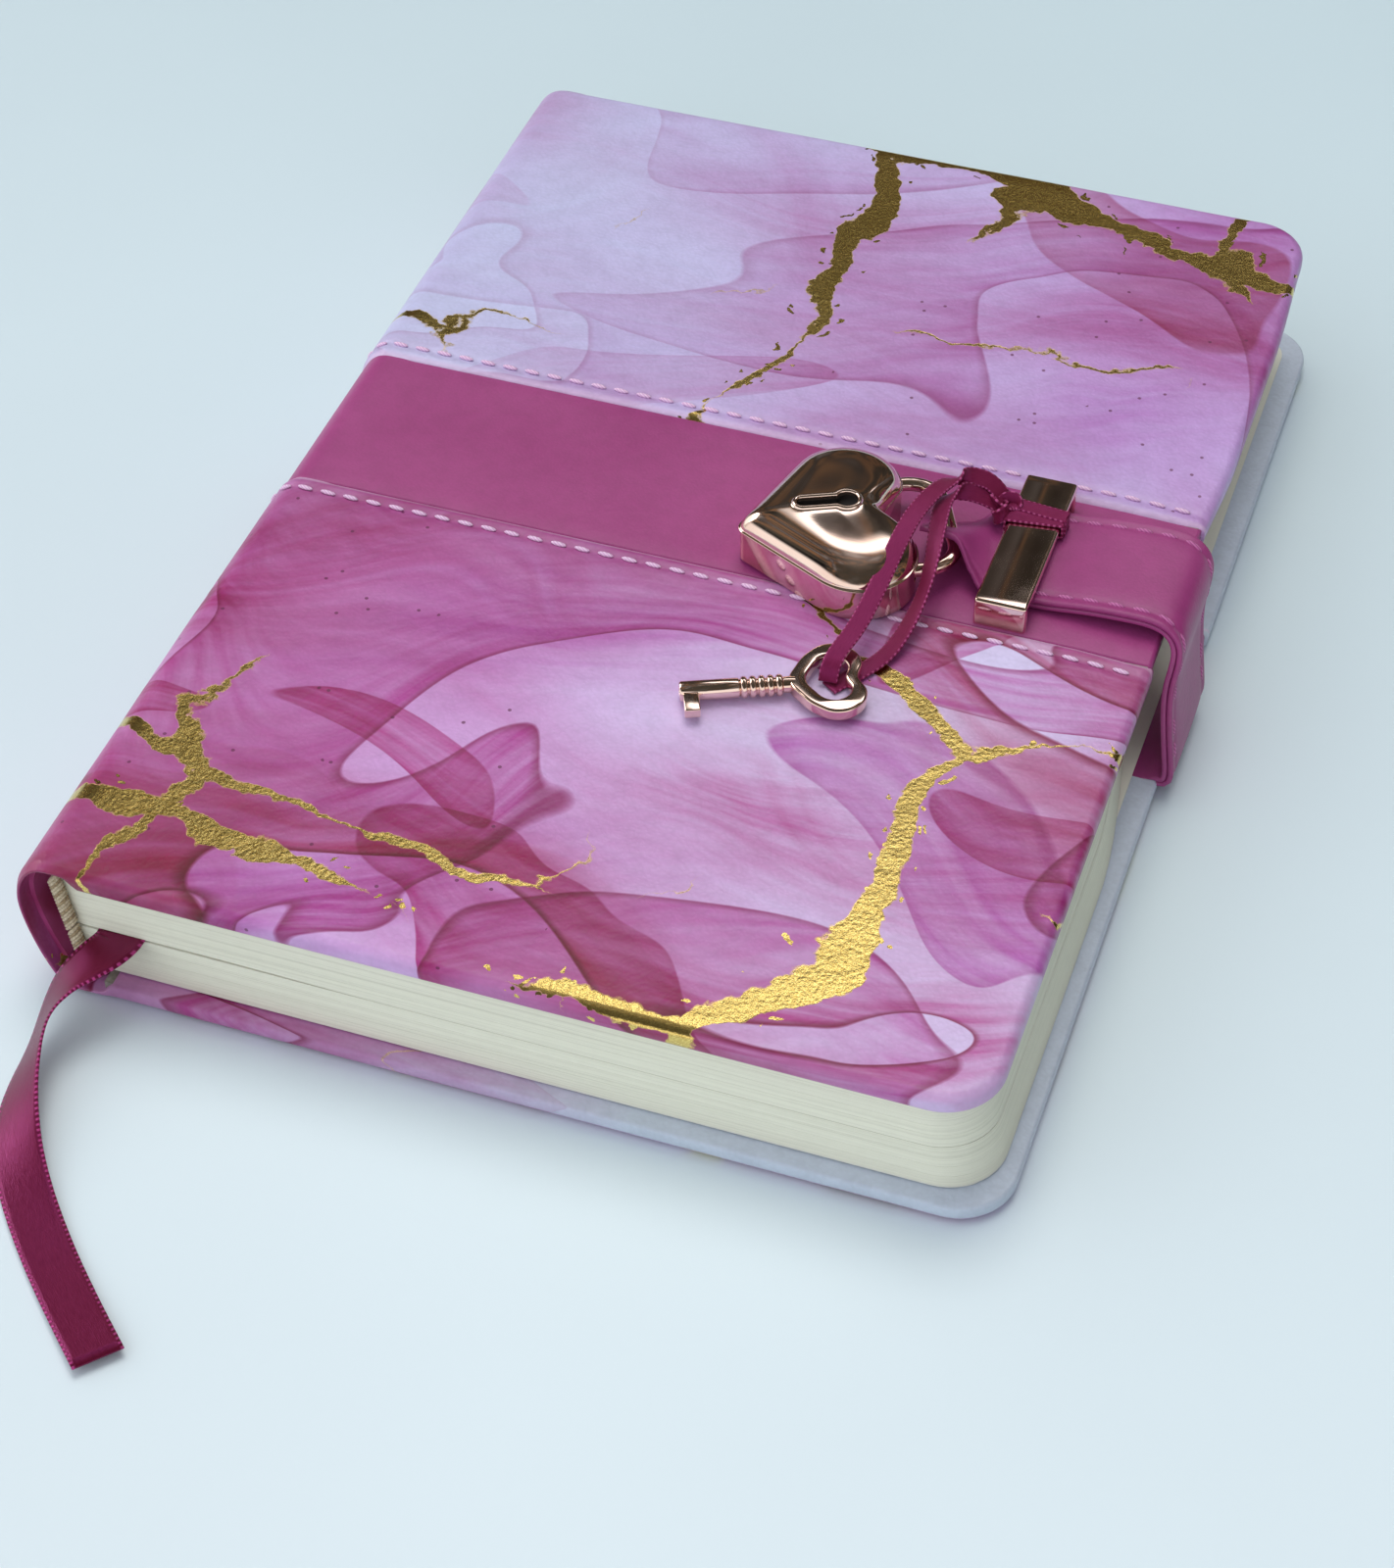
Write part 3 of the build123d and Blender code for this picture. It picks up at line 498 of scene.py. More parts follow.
# %% [markdown]
# ## Knot on the keeper
#
# The key's ribbon is tied to the far end of the keeper: two turns round the bar and a small hard knot
# beside it. The turns are ribbons laid round the bar's section. The knot is the same ribbon pulled into an
# overhand knot, whose path is the trefoil of the textbooks, a short formula.

# %% Ribbon round the bar
keeper_low, keeper_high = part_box("keeper")
BAR = 1.6 * MM
TURNS = ((8.5, 1.2, 0.35), (10.5, -0.9, 0.55))
TURN_WIDTH = 2.7 * MM
bar_left, bar_right = keeper_low.x / MM, keeper_high.x / MM
bar_top_mm = keeper_high.z / MM
bar_under = bar_top_mm - BAR / MM


def turn_round_bar(y, tilt, stand):
    left, right = bar_left - stand, bar_right + stand
    top, under = bar_top_mm + stand, bar_under - stand
    middle = (left + right) / 2
    loop = [(middle, under)]
    for corner in ((left, under), (left, top), (right, top), (right, under)):
        loop += [corner, corner]
    loop.append((middle, under))
    return [(x, y + tilt * (x - middle) / (right - left), z) for x, z in loop]


knot_pieces = []
for index, turn in enumerate(TURNS):
    line = route_line(f"turn_{index}", turn_round_bar(*turn))
    across = [Vector((0, 1, 0))] * len(line)
    piece, _ = lay_ribbon(
        f"knot_turn_{index + 1}", line, across, TURN_WIDTH, KEY_RIBBON_THICKNESS, key_satin, cup=0.05)
    knot_pieces.append(piece)

# %% Overhand knot
KNOT_MIDDLE = Vector((bar_left - 1.5, 9.5, bar_top_mm + 0.4))
KNOT_SIZE = 0.86
KNOT_STEPS = 30
KNOT_WIDTH = 2.3 * MM
KNOT_THICKNESS = 0.45 * MM


def trefoil(angle):
    return Vector((
        math.sin(angle) + 2 * math.sin(2 * angle),
        math.cos(angle) - 2 * math.cos(2 * angle),
        -math.sin(3 * angle)))


steps = [math.tau * i / KNOT_STEPS for i in range(KNOT_STEPS + 1)]
line = route_line("knot", [KNOT_MIDDLE + trefoil(a) * KNOT_SIZE for a in steps])
across = route_line("knot_across", [(0.3 * math.cos(a), 0.3 * math.sin(a), 1.0) for a in steps])
knot, _ = lay_ribbon("knot_lump", line, across, KNOT_WIDTH, KNOT_THICKNESS, key_satin, cup=0.2)
knot_pieces.append(knot)
for piece in knot_pieces:
    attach(piece, "front_cover")
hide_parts("key_ribbon_knot")
print("knot:", ", ".join(piece.name for piece in knot_pieces))

# %% [markdown]
# ## Leatherette
#
# The case is covered in soft leatherette, a plastic skin pressed with a fine leather grain. All of its
# colours share that grain, so it is a node group: small round pebbles from a Voronoi pattern, softened by a
# slow wander so that no two patches are alike. It puts out a height for the bump and a painted shade that
# darkens the valleys between the pebbles.

# %% Grain group
PRINT_PEBBLES = 1500.0
PLAIN_PEBBLES = 2100.0


def grain_group():
    group = Group("leather_grain", "Pebbles Per Metre", PRINT_PEBBLES, ("Height", "Tone"))
    place = group.place()
    wander = group.add("TexNoise", {"Vector": place, "Scale": 320.0, "Detail": 2.0})
    moved = group.vectors("MULTIPLY_ADD", wander["Color"], (0.0012,) * 3, place)
    pebbles = group.add("TexVoronoi", {"Vector": moved, "Scale": group.given}, feature="SMOOTH_F1")
    height = wander["Fac"].remap(0.35, 0.65) * 0.6 - pebbles["Distance"]
    # The darker hollows between the pebbles are painted shade.
    group.give(Height=height, Tone=height.remap(-0.7, 0.3))
    return group.tree


GRAIN = grain_group()


def grain_on(finish, pebbles):
    return finish.add("Group", {"Pebbles Per Metre": pebbles}, node_tree=GRAIN)


# %% [markdown]
# ## Ink print with gold foil
#
# The two panels are printed with a marble of pink inks and veined with gold foil. Ink that spreads in
# spirit leaves veils: each is soft inside and ends in a crisp darker rim. A noise field gives that look
# when it is multiplied and only its fraction is kept: the value climbs softly and then drops at once. The
# foil runs along the borders of large Voronoi cells, bent by noise and broken where a second noise says so.
# The pattern is printed on the flat sheet before it is wrapped, so it reads an attribute with the flat
# place of every point, and it carries on round the spine.

# %% Ink veils
def swirl(finish, place, scale, reach):
    """Moves a pattern about, as spirit does with wet ink."""
    drift = finish.noise(place, scale, 1.0, "Color")
    middle = finish.vectors("SUBTRACT", drift, (0.5, 0.5, 0.5))
    return finish.vectors("MULTIPLY_ADD", middle, (reach, reach, 0.0), place)


def ink_veils(finish, flat, seed, turn, size, steps):
    """One wash of ink: how dense it is, the thin dark line at its rim, and the field that shapes both."""
    shifted = finish.vectors("ADD", flat, seed)
    moved = swirl(finish, swirl(finish, shifted, 8.0, 0.16), 26.0, 0.022)

    def drawn_out(along, across):
        scale = (size[0] * along, size[1] * across, 1.0)
        return finish.add("Mapping", {"Vector": moved, "Rotation": (0, 0, turn), "Scale": scale})[0]

    veil = {"Vector": drawn_out(1, 1), "Scale": 1.0, "Detail": 1.0, "Roughness": 0.35}
    field = finish.add("TexNoise", veil)["Fac"]
    streak = finish.noise(drawn_out(3, 16), 1.0, 3.0)
    saw = (field * steps).maths("FRACT")
    fall = saw.remap(0.992, 1.0).rest()
    rim = saw.remap(0.966, 0.99) * fall
    body = saw.maths("POWER", 2.2) * streak.remap(0.32, 0.68, 0.5, 1.15)
    return body * fall, rim, field


def stain(finish, colour, ink, density):
    """Ink darkens what lies under it, so its colour is multiplied in."""
    return finish.vectors("MULTIPLY", colour, finish.mix(density, (1.0, 1.0, 1.0, 1.0), ink))


# %% Foil veins
def scattered(finish, place, scale, channel, chance, size):
    """Small round spots: some of the cells of a Voronoi pattern, each up to a size."""
    cells = finish.add("TexVoronoi", {"Vector": place, "Scale": scale}, voronoi_dimensions="2D")
    draw = finish.add("SeparateColor", {"Color": cells["Color"]})[channel]
    return (draw > chance) * (cells["Distance"] < size)


def vein_net(finish, seed, ragged, cells, thin, wide, swell_scale):
    border = finish.add("TexVoronoi", {"Vector": ragged, "Scale": cells}, feature="DISTANCE_TO_EDGE",
                        voronoi_dimensions="2D")["Distance"]
    return border - finish.noise(seed, swell_scale, 2.0).remap(0.34, 0.66, thin, wide)


def foil_veins(finish, flat):
    """The mask of the gold: ragged veins on the borders of large cells, with crumbs beside them."""
    seed = finish.vectors("ADD", flat, (0.455, 0.22, 0.0))
    slow = finish.noise(seed, 17.0, 3.0, "Color")
    bent = finish.vectors("MULTIPLY_ADD", slow, (0.055, 0.055, 0.0), seed)
    torn = finish.noise(seed, 420.0, 4.0, "Color")
    ragged = finish.vectors("MULTIPLY_ADD", torn, (0.0034, 0.0034, 0.0), bent)
    main = vein_net(finish, seed, ragged, 8.2, -0.006, 0.03, 24.0)
    twig = vein_net(finish, bent, ragged, 17.0, -0.06, 0.026, 15.0)
    vein = main.remap(0.0015, -0.0015).maths("MAXIMUM", twig.remap(0.003, -0.003))
    crumbs = scattered(finish, ragged, 620.0, 0, 0.9, 0.36)
    return vein.maths("MAXIMUM", crumbs * (main < 0.024))


# %% Ink on the sheet
PAPER = (card(220, 214, 246), card(216, 172, 226))
BACK_RIM_GREY_AND_SHADE = card(198, 208, 222)
WASHES = (
    ((0.31, 0.12, 0.0), 0.5, (9.0, 15.0), 3.0, card(220, 136, 204)),
    ((0.83, 0.57, 0.0), -0.6, (11.0, 19.0), 3.0, card(216, 86, 164)),
    ((0.12, 0.91, 0.0), 0.2, (7.0, 13.0), 3.0, card(206, 50, 116)),
    ((0.55, 0.37, 0.0), 1.1, (13.0, 24.0), 2.0, card(218, 106, 180)),
    ((0.21, 0.66, 0.0), 0.9, (10.0, 30.0), 3.0, card(220, 104, 168)),
)


def inked(finish, flat, place, bare):
    """The colour of the print before the grain and the foil, richer toward the tail. The folds by the belt
    get a painted highlight, and the back rim a plain grey-blue that is partly painted shade.
    """
    mood = finish.noise(swirl(finish, flat, 9.0, 0.1), 6.5, 1.5)
    toward_tail = place["Y"].remap(upper_edge_y, lower_high_y, -0.1, 0.75)
    rich = mood.remap(0.38, 0.62, 0.0, 0.75).maths("ADD", toward_tail, use_clamp=True)
    share = rich.remap(0.0, 1.0, 0.2, 1.02) * bare
    paper = finish.mix(mood.remap(0.38, 0.62), *PAPER)
    paper = stain(finish, paper, card(236, 252, 252), place["Y"].remap(lower_high_y, upper_edge_y))
    # On the back cover's rim and inner face the sheet is a plain pale grey-blue: partly unprinted sheet,
    # partly the cool shade the rim lies in, painted in.
    colour = finish.mix(bare.rest(), paper, BACK_RIM_GREY_AND_SHADE)
    line = None
    for *wash, ink in WASHES:
        density, rim, field = ink_veils(finish, flat, *wash)
        colour = stain(finish, colour, ink, density * share)
        faint = rim * (share * field.remap(0.4, 0.56, 0.15, 1.0))
        line = faint if line is None else line.maths("MAXIMUM", faint)
    colour = stain(finish, colour, card(176, 44, 108), line * 0.85)
    dots = scattered(finish, flat, 420.0, 1, 0.955, 0.13) * ((mood > 0.56) * bare)
    colour = finish.mix(dots * 0.75, colour, card(96, 20, 66))
    # Painted highlight: within about a millimetre of the folded edges beside the belt the print turns
    # lighter.
    to_fold = (place["Y"] - upper_edge_y).maths("ABSOLUTE").maths(
        "MINIMUM", (place["Y"] - lower_high_y).maths("ABSOLUTE"))
    return finish.mix(to_fold.remap(1.3 * MM, 0.3 * MM) * 0.45, colour, card(238, 206, 232))


# %% Printed leatherette
def printed_leatherette():
    finish = Finish("printed_leatherette", Coat_Weight=0.12, Coat_Roughness=0.3)
    flat = finish.add("Attribute", attribute_name="flat")["Vector"]
    place = finish.parts(flat)
    # Past the spine and deeper than the face, the back cover's rim and inner face lose ink and foil and take
    # the grey-blue that is partly painted shade.
    on_back = place["X"].remap(SPINE_RUN + 0.02, SPINE_RUN + 0.09)
    bare = (on_back * place["Z"].remap(-0.4 * MM, -1.3 * MM)).rest()
    grain = grain_on(finish, PRINT_PEBBLES)
    # The grain's hollows darken the print here: painted shade.
    colour = finish.scaled(inked(finish, flat, place, bare), grain["Tone"].remap(0.0, 1.0, 0.92, 1.03))
    foil = foil_veins(finish, flat) * bare
    crackle = finish.noise(flat, 5200.0, 1.0)
    gold = finish.mix(crackle.remap(0.35, 0.65), card(200, 164, 84), card(252, 226, 140))
    finish.set(Base_Color=finish.mix(foil, colour, gold), Metallic=foil)
    finish.set(Roughness=foil.remap(0.0, 1.0, 0.42, 0.2))
    pressed = grain["Height"] * -0.55 + crackle * 0.26
    finish.bump(grain["Height"] + pressed * foil, 0.0001, 0.6)
    return finish.material


# %% Plain leatherette
def plain_leatherette(name, low, high):
    finish = Finish(name, Coat_Weight=0.1, Coat_Roughness=0.35)
    grain = grain_on(finish, PLAIN_PEBBLES)
    cloud = finish.noise(finish.place(), 35.0, 2.0)
    colour = finish.mix(cloud.remap(0.3, 0.7), low, high)
    # The grain's hollows darken the leatherette here: painted shade.
    finish.set(Base_Color=finish.scaled(colour, grain["Tone"].remap(0.0, 1.0, 0.92, 1.04)))
    finish.set(Roughness=cloud.remap(0.3, 0.7, 0.38, 0.46))
    finish.bump(grain["Height"], 0.00006, 0.5)
    return finish.material


belt_leather = plain_leatherette("belt_leatherette", card(156, 56, 118), card(166, 66, 128))
strap_leather = plain_leatherette("strap_leatherette", card(153, 55, 116), card(163, 65, 126))
print("leatherette finishes made")

# %% [markdown]
# ## The case, made flat and wrapped
#
# A bookbinder lays the cover sheet flat, glues the boards to it, turns its edges in and folds it round the
# pages. The lesson does the same. Each panel starts as one flat rectangle with rounded corners, is given
# its thickness, soft edges and a dip under the stitches, and is then wrapped: over the front board, round
# the spine and under the back. Flat, every step is easy, and the print keeps its flat place as an
# attribute.

# %% Sizes from the frame
front_low, front_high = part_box("front_panel_upper")
back_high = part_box("back_panel_upper")[1]
belt_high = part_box("front_band")[1]
spine_low, spine_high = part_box("spine_panel_upper")
lower_high_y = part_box("front_panel_lower")[1].y
upper_edge_y = front_low.y
half_height = front_high.y
hinge_x = spine_high.x
book_top = front_high.z
cover_depth = front_high.z - front_low.z
front_width = front_high.x - hinge_x
back_width = back_high.x - hinge_x
belt_top_drop = book_top - belt_high.z
print(f"case {half_height * 2000:.0f} mm high, {book_top * 1000:.1f} mm thick")

# %% The spine's curve
BULGE_DROP = 8.67 * MM
FLAT_RUN = 14 * MM
STEP = 0.35 * MM
SOFTEN = 4
bulge = Vector((spine_low.x, 0, book_top - BULGE_DROP))
front_hinge = Vector((hinge_x, 0, book_top))
back_hinge = Vector((hinge_x, 0, 0))
pull_front = Vector((-9, 0, 0)) * MM
pull_bulge = Vector((0, 0, -13)) * MM
pull_back = Vector((9, 0, -9)) * MM
upper_arc = geometry.interpolate_bezier(
    front_hinge, front_hinge + pull_front / 3, bulge - pull_bulge / 3, bulge, 60)
lower_arc = geometry.interpolate_bezier(
    bulge, bulge + pull_bulge / 3, back_hinge - pull_back / 3, back_hinge, 60)
spine_line = upper_arc + lower_arc[1:]
spine_lengths = distances(spine_line)
SPINE_RUN = spine_lengths[-1]


def on_line(line, lengths, place):
    """The point at a distance along a line."""
    for index in range(len(line) - 1):
        if place <= lengths[index + 1]:
            share = (place - lengths[index]) / (lengths[index + 1] - lengths[index])
            return line[index].lerp(line[index + 1], share)
    return line[-1].copy()


def case_point(along):
    """The outer face of the case at a distance past the front hinge, before its corners are softened."""
    if along <= 0:
        return front_hinge + Vector((-along, 0, 0))
    if along >= SPINE_RUN:
        return back_hinge + Vector((along - SPINE_RUN, 0, 0))
    return on_line(spine_line, spine_lengths, along)


sample_count = int((SPINE_RUN + 2 * FLAT_RUN) / STEP)
rough_line = [case_point(-FLAT_RUN + STEP * i) for i in range(sample_count + 1)]
soft_line = []
for i in range(len(rough_line)):
    reach = min(SOFTEN, i, len(rough_line) - 1 - i)
    near = rough_line[i - reach:i + reach + 1]
    soft_line.append(sum(near, Vector()) / len(near))
print(f"the spine takes {SPINE_RUN * 1000:.1f} mm of the sheet")

# %% Wrap a flat point
HALF_SKIN = 0.6 * MM


def wrap(flat):
    """A point of the flat sheet, along, up the book and out of the sheet, placed on the closed book."""
    along, across, lift = flat
    place = (along + FLAT_RUN) / STEP
    if place <= 1:
        return Vector((hinge_x - along, across, book_top + lift))
    if place >= len(soft_line) - 2:
        return Vector((hinge_x + along - SPINE_RUN, across, -lift))
    index = int(place)
    point = soft_line[index].lerp(soft_line[index + 1], place - index)
    ahead = (soft_line[index + 1] - soft_line[index]).normalized()
    behind = (soft_line[index] - soft_line[index - 1]).normalized()
    travel = behind.lerp(ahead, place - index).normalized()
    return Vector((point.x + travel.z * lift, across, point.z - travel.x * lift))


def board_share(along):
    """1 over the boards, 0 over the joints and the spine, where the case is only its skin."""
    return max(smoothstep(-3.0 * MM, -5.5 * MM, along),
               smoothstep(SPINE_RUN + 6.0 * MM, SPINE_RUN + 8.5 * MM, along))


def thin_at_spine(depth, along):
    kept = min(depth, HALF_SKIN)
    rest = max(depth - HALF_SKIN, 0.0)
    thin = rest * HALF_SKIN / (cover_depth - HALF_SKIN)
    return kept + thin + (rest - thin) * board_share(along)


# %% [markdown]
# ### One panel of the flat case
#
# The rectangle's outer corners are rounded with a vertex bevel, the slab is extruded, and its rims are
# rounded with an edge bevel. Planes then cut it into a fine net, close together where the spine will bend
# and where the stitches dip, so that the wrap has enough points. A slow noise keeps the padded face from
# being quite flat.

# %% Sheets and cuts
def sheet(left, right, low_y, high_y, height):
    bm = bmesh.new()
    bmesh.ops.create_grid(bm, x_segments=1, y_segments=1, size=0.5)
    bmesh.ops.scale(bm, verts=bm.verts, vec=(right - left, high_y - low_y, 1))
    bmesh.ops.translate(bm, verts=bm.verts, vec=((left + right) / 2, (low_y + high_y) / 2, height))
    return bm


def thicken(bm, depth):
    grown = bmesh.ops.extrude_face_region(bm, geom=bm.faces[:])["geom"]
    down = [v for v in grown if isinstance(v, bmesh.types.BMVert)]
    bmesh.ops.translate(bm, verts=down, vec=(0, 0, -depth))
    bmesh.ops.recalc_face_normals(bm, faces=bm.faces)


def round_edges(bm, edges, width, segments, affect="EDGES"):
    bmesh.ops.bevel(bm, geom=edges, offset=width, segments=segments, profile=0.5, affect=affect, material=-1)


def cut(bm, axis, place, **clear):
    normal = Vector((0, 0, 0))
    normal[axis] = 1.0
    bmesh.ops.bisect_plane(bm, geom=bm.verts[:] + bm.edges[:] + bm.faces[:], dist=1e-7,
                           plane_co=normal * place, plane_no=normal, **clear)


def cut_along(bm, axis, places):
    for place in places:
        cut(bm, axis, place)


def half_of(bm, place, is_first):
    """A copy of what lies before or after a place along the sheet."""
    half = bm.copy()
    cut(half, 0, place, clear_outer=is_first, clear_inner=not is_first)
    return half


def spread(low, high, step):
    count = max(int(round((high - low) / step)), 1)
    return [low + (high - low) * i / count for i in range(count + 1)]


# %% Flat panel
CORNER = 9 * MM
NET = 4 * MM
BEND_STEP = 0.9 * MM
DIP_STEP = 0.45 * MM
INNER_RIM = 0.5 * MM


def flat_panel(low_y, high_y, inset, top, corner_sides, rim, stitch_y=None):
    left, right = inset - front_width, SPINE_RUN + back_width - inset
    bm = sheet(left, right, low_y, high_y, top)
    corners = [v for v in bm.verts if v.co.y * corner_sides > abs(low_y + high_y) / 2]
    if corners:
        round_edges(bm, corners, CORNER, 14, "VERTICES")
    thicken(bm, cover_depth + top)
    round_edges(bm, [e for e in bm.edges if all(abs(v.co.z - top) < 1e-6 for v in e.verts)], rim, 7)
    inner = [e for e in bm.edges if all(abs(v.co.z + cover_depth) < 1e-6 for v in e.verts)]
    round_edges(bm, inner, INNER_RIM, 2)
    cut_along(bm, 0, spread(left + NET, -12 * MM, NET) + spread(-9 * MM, SPINE_RUN + 11 * MM, BEND_STEP)
              + spread(SPINE_RUN + 14 * MM, right - NET, NET))
    cut_along(bm, 1, spread(low_y + NET, high_y - NET, NET))
    if stitch_y is not None:
        cut_along(bm, 1, [stitch_y + step * DIP_STEP for step in range(-4, 5)])
    return bm


# %% Soft face and pulled edge
WAVES = ((28, 3.1, 0.16 * MM), (90, 7.7, 0.05 * MM))
FACE_DROP = 0.12 * MM
DIP_DEPTH = 0.3 * MM
DIP_WIDTH = 0.8 * MM
PULL_REACH = 14 * MM
PULL_MIDDLE_Y = 4 * MM
PULL_SPREAD_Y = 30 * MM
REACH_OUT = 1.2 * MM


def soften(bm, stitch_y):
    """A slow noise on the padded face and a dip along the stitches. The rim stays as it is."""
    for vertex in bm.verts:
        along, across, lift = vertex.co
        face = smoothstep(-1.2 * MM, -0.2 * MM, lift)
        wave = -DIP_DEPTH * math.exp(-(((across - stitch_y) / DIP_WIDTH) ** 2))
        for often, seed, size in WAVES:
            wave += noise.noise(Vector((along * often, across * often, seed))) * size
        vertex.co.z -= face * (FACE_DROP - wave)


def pulled_edge(bm, dip):
    """The strap draws the cover's fore edge down beside it. Above it the cover reaches out a little."""
    for vertex in bm.verts:
        along, across, _ = vertex.co
        at_edge = smoothstep(PULL_REACH - front_width, -front_width, along)
        beside = math.exp(-(((across - PULL_MIDDLE_Y) / PULL_SPREAD_Y) ** 2))
        above = smoothstep(16 * MM, 40 * MM, across) * smoothstep(104 * MM, 70 * MM, across)
        vertex.co.z -= dip * beside * at_edge
        vertex.co.x -= REACH_OUT * above * at_edge


# %% Wrap the two halves
SPLIT = SPINE_RUN * 0.5
RIM_REACH = 2.2 * MM
BOTH = (
    ("front", "spine", "front_cover", (-75.6 * MM, 0, 19.5 * MM), (-66.5 * MM, 0, book_top)),
    ("back", "book", "spine", (-65.5 * MM, 0, 0), (-75.0 * MM, 0, 8.5 * MM)),
)


def printed_place(co, low_y, high_y):
    """Where a point lies on the printed sheet: down a rim, the sheet goes on past the edge of the face."""
    def past(place, low, high):
        return smoothstep(high - RIM_REACH, high, place) - smoothstep(low + RIM_REACH, low, place)

    along, across, lift = co
    out_x = past(along, -front_width, SPINE_RUN + back_width)
    return along - lift * out_x, across - lift * past(across, low_y, high_y), lift


def wrapped_half(bm, side, name, material):
    half = half_of(bm, SPLIT, side == "front")
    flat_layer = half.verts.layers.float_vector.new("flat")
    low_y = min(v.co.y for v in half.verts)
    high_y = max(v.co.y for v in half.verts)
    for vertex in half.verts:
        vertex[flat_layer] = printed_place(vertex.co, low_y, high_y)
        depth = thin_at_spine(-vertex.co.z, vertex.co.x)
        vertex.co = wrap((vertex.co.x, vertex.co.y, -depth))
    return piece_from(half, name, material)


def case_skin(label, bm, material, stands_for):
    for side, first, second, start, end in BOTH:
        piece = wrapped_half(bm, side, f"{side}_{label}", material)
        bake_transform(piece)
        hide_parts(*stands_for[side])
        print(f"{piece.name}: {len(piece.data.polygons)} faces")
    bm.free()


# %% Skins of the case
PANEL_RIM = 1.7 * MM
PANEL_DIP = 0.8 * MM
BELT_RIM = 0.6 * MM
BELT_DIP = 0.45 * MM
BELT_UNDER = 0.4 * MM
BELT_INSET = 0.5 * MM
STITCH_IN = 3.2 * MM
UPPER_STITCH = upper_edge_y + STITCH_IN
LOWER_STITCH = lower_high_y - STITCH_IN
printed = printed_leatherette()
for label, low_y, high_y, side, stitch_y in (
    ("upper", upper_edge_y, half_height, 1, UPPER_STITCH),
    ("lower", -half_height, lower_high_y, -1, LOWER_STITCH),
):
    panel = flat_panel(low_y, high_y, 0.0, 0.0, side, PANEL_RIM, stitch_y)
    soften(panel, stitch_y)
    pulled_edge(panel, PANEL_DIP)
    case_skin(f"{label}_skin", panel, printed, {
        "front": [f"front_panel_{label}", f"spine_panel_{label}"], "back": [f"back_panel_{label}"]})
belt = flat_panel(
    lower_high_y - BELT_UNDER, upper_edge_y + BELT_UNDER, BELT_INSET, -belt_top_drop, 0, BELT_RIM)
pulled_edge(belt, BELT_DIP)
case_skin("belt_skin", belt, belt_leather, {
    "front": ["front_band", "spine_band"], "back": ["back_band"]})

# %% [markdown]
# ### Stitches
#
# Two rows of thread hold the panels to the belt. Each stitch is a short swelling of thread that dives into
# the leatherette at both ends, so a stretched ball sunk into its dip is enough. The rows are laid on the
# flat sheet and wrapped with it, so they go round the spine as sewn ones do.

# %% Thread finish
def thread_finish(name, colour, shadow):
    finish = Finish(name, Roughness=0.55, Sheen_Weight=0.3)
    inputs = {"Vector": finish.place(), "Scale": 900.0, "Distortion": 1.5, "Detail": 1.0}
    twist = finish.add("TexWave", inputs, bands_direction="DIAGONAL")["Fac"]
    finish.set(Base_Color=finish.mix(twist, shadow, colour))
    finish.bump(twist, 0.00005, 0.6)
    return finish.material


case_thread = thread_finish("case_thread", card(240, 206, 232), card(216, 166, 208))
strap_thread = thread_finish("strap_thread", card(204, 112, 172), card(160, 66, 126))

# %% Stitch rows
STITCH_PITCH = 4.0 * MM
STITCH = Vector((1.4, 0.42, 0.34)) * MM
STITCH_SLANT_DEG = 5.0
STITCH_SUNK = 0.16 * MM
ROW_MARGIN = 2.5 * MM
ROW_GAP = 0.5 * MM


def sew(bm, start, end, across, lift):
    count = int((end - start) / STITCH_PITCH)
    for i in range(count):
        middle = Vector((start + (i + 0.5) * STITCH_PITCH, across, lift))
        slant = Matrix.Rotation(math.radians(STITCH_SLANT_DEG), 4, "Z")
        shape = Matrix.Translation(middle) @ slant @ Matrix.Diagonal((*STITCH, 1.0))
        bmesh.ops.create_icosphere(bm, subdivisions=2, radius=1.0, matrix=shape)


seam = bmesh.new()
for row in (UPPER_STITCH, LOWER_STITCH):
    sew(seam, ROW_MARGIN - front_width, SPLIT, row, -STITCH_SUNK)
    sew(seam, SPLIT + ROW_GAP, SPINE_RUN + back_width - ROW_MARGIN, row, -STITCH_SUNK)
pulled_edge(seam, PANEL_DIP)
case_skin("stitching", seam, case_thread, {"front": ["front_stitches"], "back": ["back_stitches"]})

# %% [markdown]
# ## Strap
#
# The strap comes out of a slit in the back cover, climbs the fore edge, bends over the front cover, passes
# under the keeper and ends in a tongue on the shackle. It is two layers of leatherette sewn together near
# both margins. Like the case it is made flat, as a long strip with rounded margins, and then laid along a
# smooth line. The strip is cut half way up the fore edge into a low half and a high half.

# %% Strap line
STRAP_WIDTH = 22.5 * MM
LAYER = 0.95 * MM
AHEAD = 0.6 * MM
strap_route = [
    (64.0, -4.0, 3.2), (68.0, -4.0, 3.2), (71.2, -4.0, 3.25), (72.8, -4.0, 3.4), (74.0, -4.0, 3.05),
    (74.9, -4.0, 3.7), (74.95, -3.9, 5.6), (74.5, -3.6, 8.6), (73.8, -2.8, 12.4), (73.05, -1.4, 16.6),
    (72.75, 0.2, 19.6), (73.15, 1.6, 22.6), (73.1, 2.7, 25.2), (71.5, 3.6, 27.3), (68.6, 4.2, 28.1),
    (64.6, 4.2, 28.2), (57.6, 4.2, 27.87), (51.6, 4.2, 26.97), (45.6, 4.2, 26.87), (40.6, 4.2, 26.97),
    (38.1, 4.2, 28.07), (35.6, 3.6, 28.92), (32.6, 2.6, 29.52), (29.1, 1.8, 29.62),
]
strap_line = route_line("strap", strap_route)
strap_lengths = distances(strap_line)
TONGUE = ((40.6, 0.0, 22.5), (38.1, 8.0, 18.5), (35.6, 28.0, 14.0), (32.6, 33.0, 12.0), (29.1, 33.0, 6.0))


